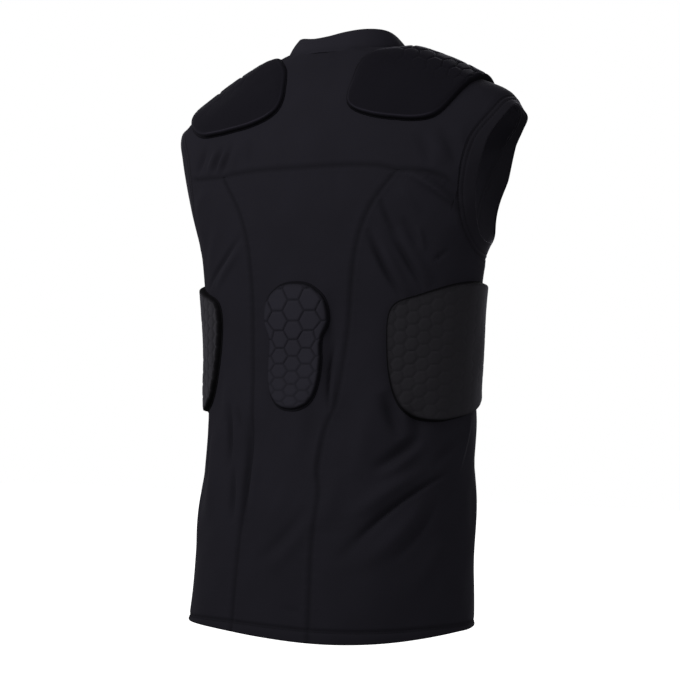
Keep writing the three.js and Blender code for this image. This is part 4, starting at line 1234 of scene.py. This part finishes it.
def stitch_row(path, normal):
    """Stitches along a path: each is a tube that tapers and dips into the cloth at both ends, as t^2."""
    length = arc_length(path)
    pitch = STITCH_LENGTH + STITCH_GAP
    count = int(length[-1] // pitch)
    middle = (np.arange(count) + 0.5) * length[-1] / count
    place = middle[:, None] + STITCH_ALONG * STITCH_LENGTH / 2
    at = np.stack([np.interp(place, length, path[:, k]) for k in range(3)], -1)
    up = np.stack([np.interp(place, length, normal[:, k]) for k in range(3)], -1)
    along = at[:, -1:] - at[:, :1]
    along = along / np.linalg.norm(along, axis=-1, keepdims=True)
    across = np.cross(along, up)
    line = at + up * (STITCH_RADIUS * (STITCH_STANDS - STITCH_ALONG**2))[:, None]
    radius = (STITCH_RADIUS * STITCH_TAPER)[:, None, None]
    corners = np.arange(STITCH_SIDES)
    phi = corners * 2 * np.pi / STITCH_SIDES
    ring = np.cos(phi)[:, None] * up[:, :, None] + np.sin(phi)[:, None] * across[:, :, None]
    points = line[:, :, None] + radius * ring
    rings = len(STITCH_ALONG)
    first = (np.arange(count) * rings * STITCH_SIDES)[:, None, None]
    sides = (first + grid_faces(rings, STITCH_SIDES, close_cols=True)).reshape(-1, 4)
    ends = np.stack([corners[::-1], (rings - 1) * STITCH_SIDES + corners])
    return points.reshape(-1, 3), [sides, (first + ends).reshape(-1, STITCH_SIDES)]


def stitches(name, rows):
    """Several stitch rows as one piece."""
    points, quads, ends, start = [], [], [], 0
    for path, normal in rows:
        row_points, (row_quads, row_ends) = stitch_row(path, normal)
        points.append(row_points)
        quads.append(row_quads + start)
        ends.append(row_ends + start)
        start += len(row_points)
    faces = [np.concatenate(quads), np.concatenate(ends)]
    piece = mesh_piece(name, np.concatenate(points), faces, THREAD)
    return dress(piece)


def grid_row(outer, normal, distance, wanted, closed=False):
    """The line across a grid at a wanted distance from its border, with its normals.

    In each column it lies between the last row before that distance and the first one past it.
    """
    columns = np.arange(outer.shape[1])
    past = np.argmax(distance >= wanted, axis=0)
    far, near = distance[past, columns], distance[past - 1, columns]
    share = ((wanted - near) / (far - near))[:, None]
    path, up = (grid[past - 1, columns] * (1 - share) + grid[past, columns] * share
                for grid in (outer, normal))
    return (np.append(path, path[:1], 0), np.append(up, up[:1], 0)) if closed else (path, up)


# The vest

centre = centre_panel()
sides = [side_panel(1), side_panel(-1)]
yoke = yoke_panel()
front = front_panel()
collar = neckband()
bands = [armhole_band(1), armhole_band(-1)]
spine_pad()
for side in (1, -1):
    rib_pad(side)
    shoulder_pad(side)

hem_rows = [grid_row(*panel[1:], needle) for panel in (centre, *sides, front) for needle in HEM_NEEDLES]
stitches("hem_stitches", hem_rows)
for band, name in zip(bands, ("left", "right")):
    rows = [grid_row(*band[1:], needle, closed=True) for needle in BAND_NEEDLES]
    stitches(f"armhole_stitches_{name}", rows)


# Stage, light and camera

def soft_light(name, azimuth, elevation, distance, size, watts):
    """A square soft box turned towards the vest.

    Azimuth counts from the camera to its left and elevation from the level, in degrees; lengths in metres.
    """
    around, up = np.radians(CAMERA_AZIMUTH - azimuth), np.radians(elevation)
    way = np.array([-np.sin(around) * np.cos(up), np.cos(around) * np.cos(up), np.sin(up)])
    place = np.array([0, 0, LIT_MIDDLE]) + distance * way
    light = bpy.data.lights.new(name, "AREA")
    light.size = size
    light.energy = watts
    lamp = add_object(name, light)
    lamp.location = place
    # a lamp shines down its own -Z: tip it from straight down, then turn it to the vest
    lamp.rotation_euler = (np.pi / 2 - up, 0, np.pi + around)


def inner_light():
    """A faint round lamp in the chest, so that the inside seen through the armholes isn't black."""
    light = bpy.data.lights.new("inside", "POINT")
    light.shadow_soft_size = INNER_RADIUS
    light.energy = INNER_WATTS
    lamp = add_object("inside", light)
    lamp.location = (0, 0, INNER_HEIGHT)


def studio():
    """A room that looks white to the camera and lights the vest more dimly, with soft boxes and a lamp."""
    world = bpy.data.worlds.new("white_studio")
    bpy.context.scene.world = world
    world.use_nodes = True
    tree = world.node_tree
    tree.nodes.clear()
    ray = node(tree, "ShaderNodeLightPath", {}, {})
    way = node(tree, "ShaderNodeTexCoord", {}, {})
    parts = node(tree, "ShaderNodeSeparateXYZ", {}, {"Vector": way.outputs["Generated"]})
    glow = node(tree, "ShaderNodeMapRange", {},
                {0: parts.outputs["Z"], 1: -1.0, 2: 1.0, 3: GLOW_BELOW, 4: GLOW_ABOVE})
    strength = node(tree, "ShaderNodeMapRange", {},
                    {0: ray.outputs["Is Camera Ray"], 3: glow.outputs[0], 4: 1.0})
    back = node(tree, "ShaderNodeBackground", {}, {"Color": linear(WHITE), "Strength": strength.outputs[0]})
    node(tree, "ShaderNodeOutputWorld", {}, {"Surface": back.outputs["Background"]})
    for name, box in SOFT_BOXES.items():
        soft_light(name, *box)
    inner_light()


def floor():
    """A plain white floor, well below the vest. It glows, so that it stays white, and lights nothing."""
    around = [(-FLOOR_HALF, -FLOOR_HALF), (FLOOR_HALF, -FLOOR_HALF),
              (FLOOR_HALF, FLOOR_HALF), (-FLOOR_HALF, FLOOR_HALF)]
    mesh = bpy.data.meshes.new("floor")
    mesh.from_pydata([(x, y, FLOOR_LEVEL) for x, y in around], [], [(0, 1, 2, 3)])
    material, tree = bare_material("white_painted_floor")
    shader = node(tree, "ShaderNodeBsdfPrincipled", {}, {
        "Base Color": linear(FLOOR_COLOUR), "Roughness": FLOOR_ROUGHNESS,
        "Emission Color": linear(WHITE), "Emission Strength": 1.0})
    node(tree, "ShaderNodeOutputMaterial", {}, {"Surface": shader.outputs["BSDF"]})
    mesh.materials.append(material)
    ground = add_object("floor", mesh)
    ground.visible_diffuse = False
    ground.visible_glossy = False


def camera():
    """A level camera behind the wearer's right shoulder; its shift sets the horizon and the vest's axis."""
    data = bpy.data.cameras.new("camera")
    data.sensor_width = SENSOR
    data.lens = PIXELS_PER_MM * CAMERA_DISTANCE / FRAME_PIXELS * SENSOR
    data.shift_x = (FRAME_PIXELS / 2 - AXIS_COLUMN) / FRAME_PIXELS
    data.shift_y = (HORIZON_ROW - FRAME_PIXELS / 2) / FRAME_PIXELS
    eye = add_object("camera", data)
    azimuth = np.radians(CAMERA_AZIMUTH)
    eye.location = np.array([-np.sin(azimuth), np.cos(azimuth), 0]) * CAMERA_DISTANCE * MM
    eye.location.z = CAMERA_HEIGHT * MM
    eye.rotation_euler = (np.pi / 2, 0, np.pi + azimuth)
    bpy.context.scene.camera = eye


studio()
floor()
camera()
bpy.context.scene.view_settings.view_transform = "Standard"
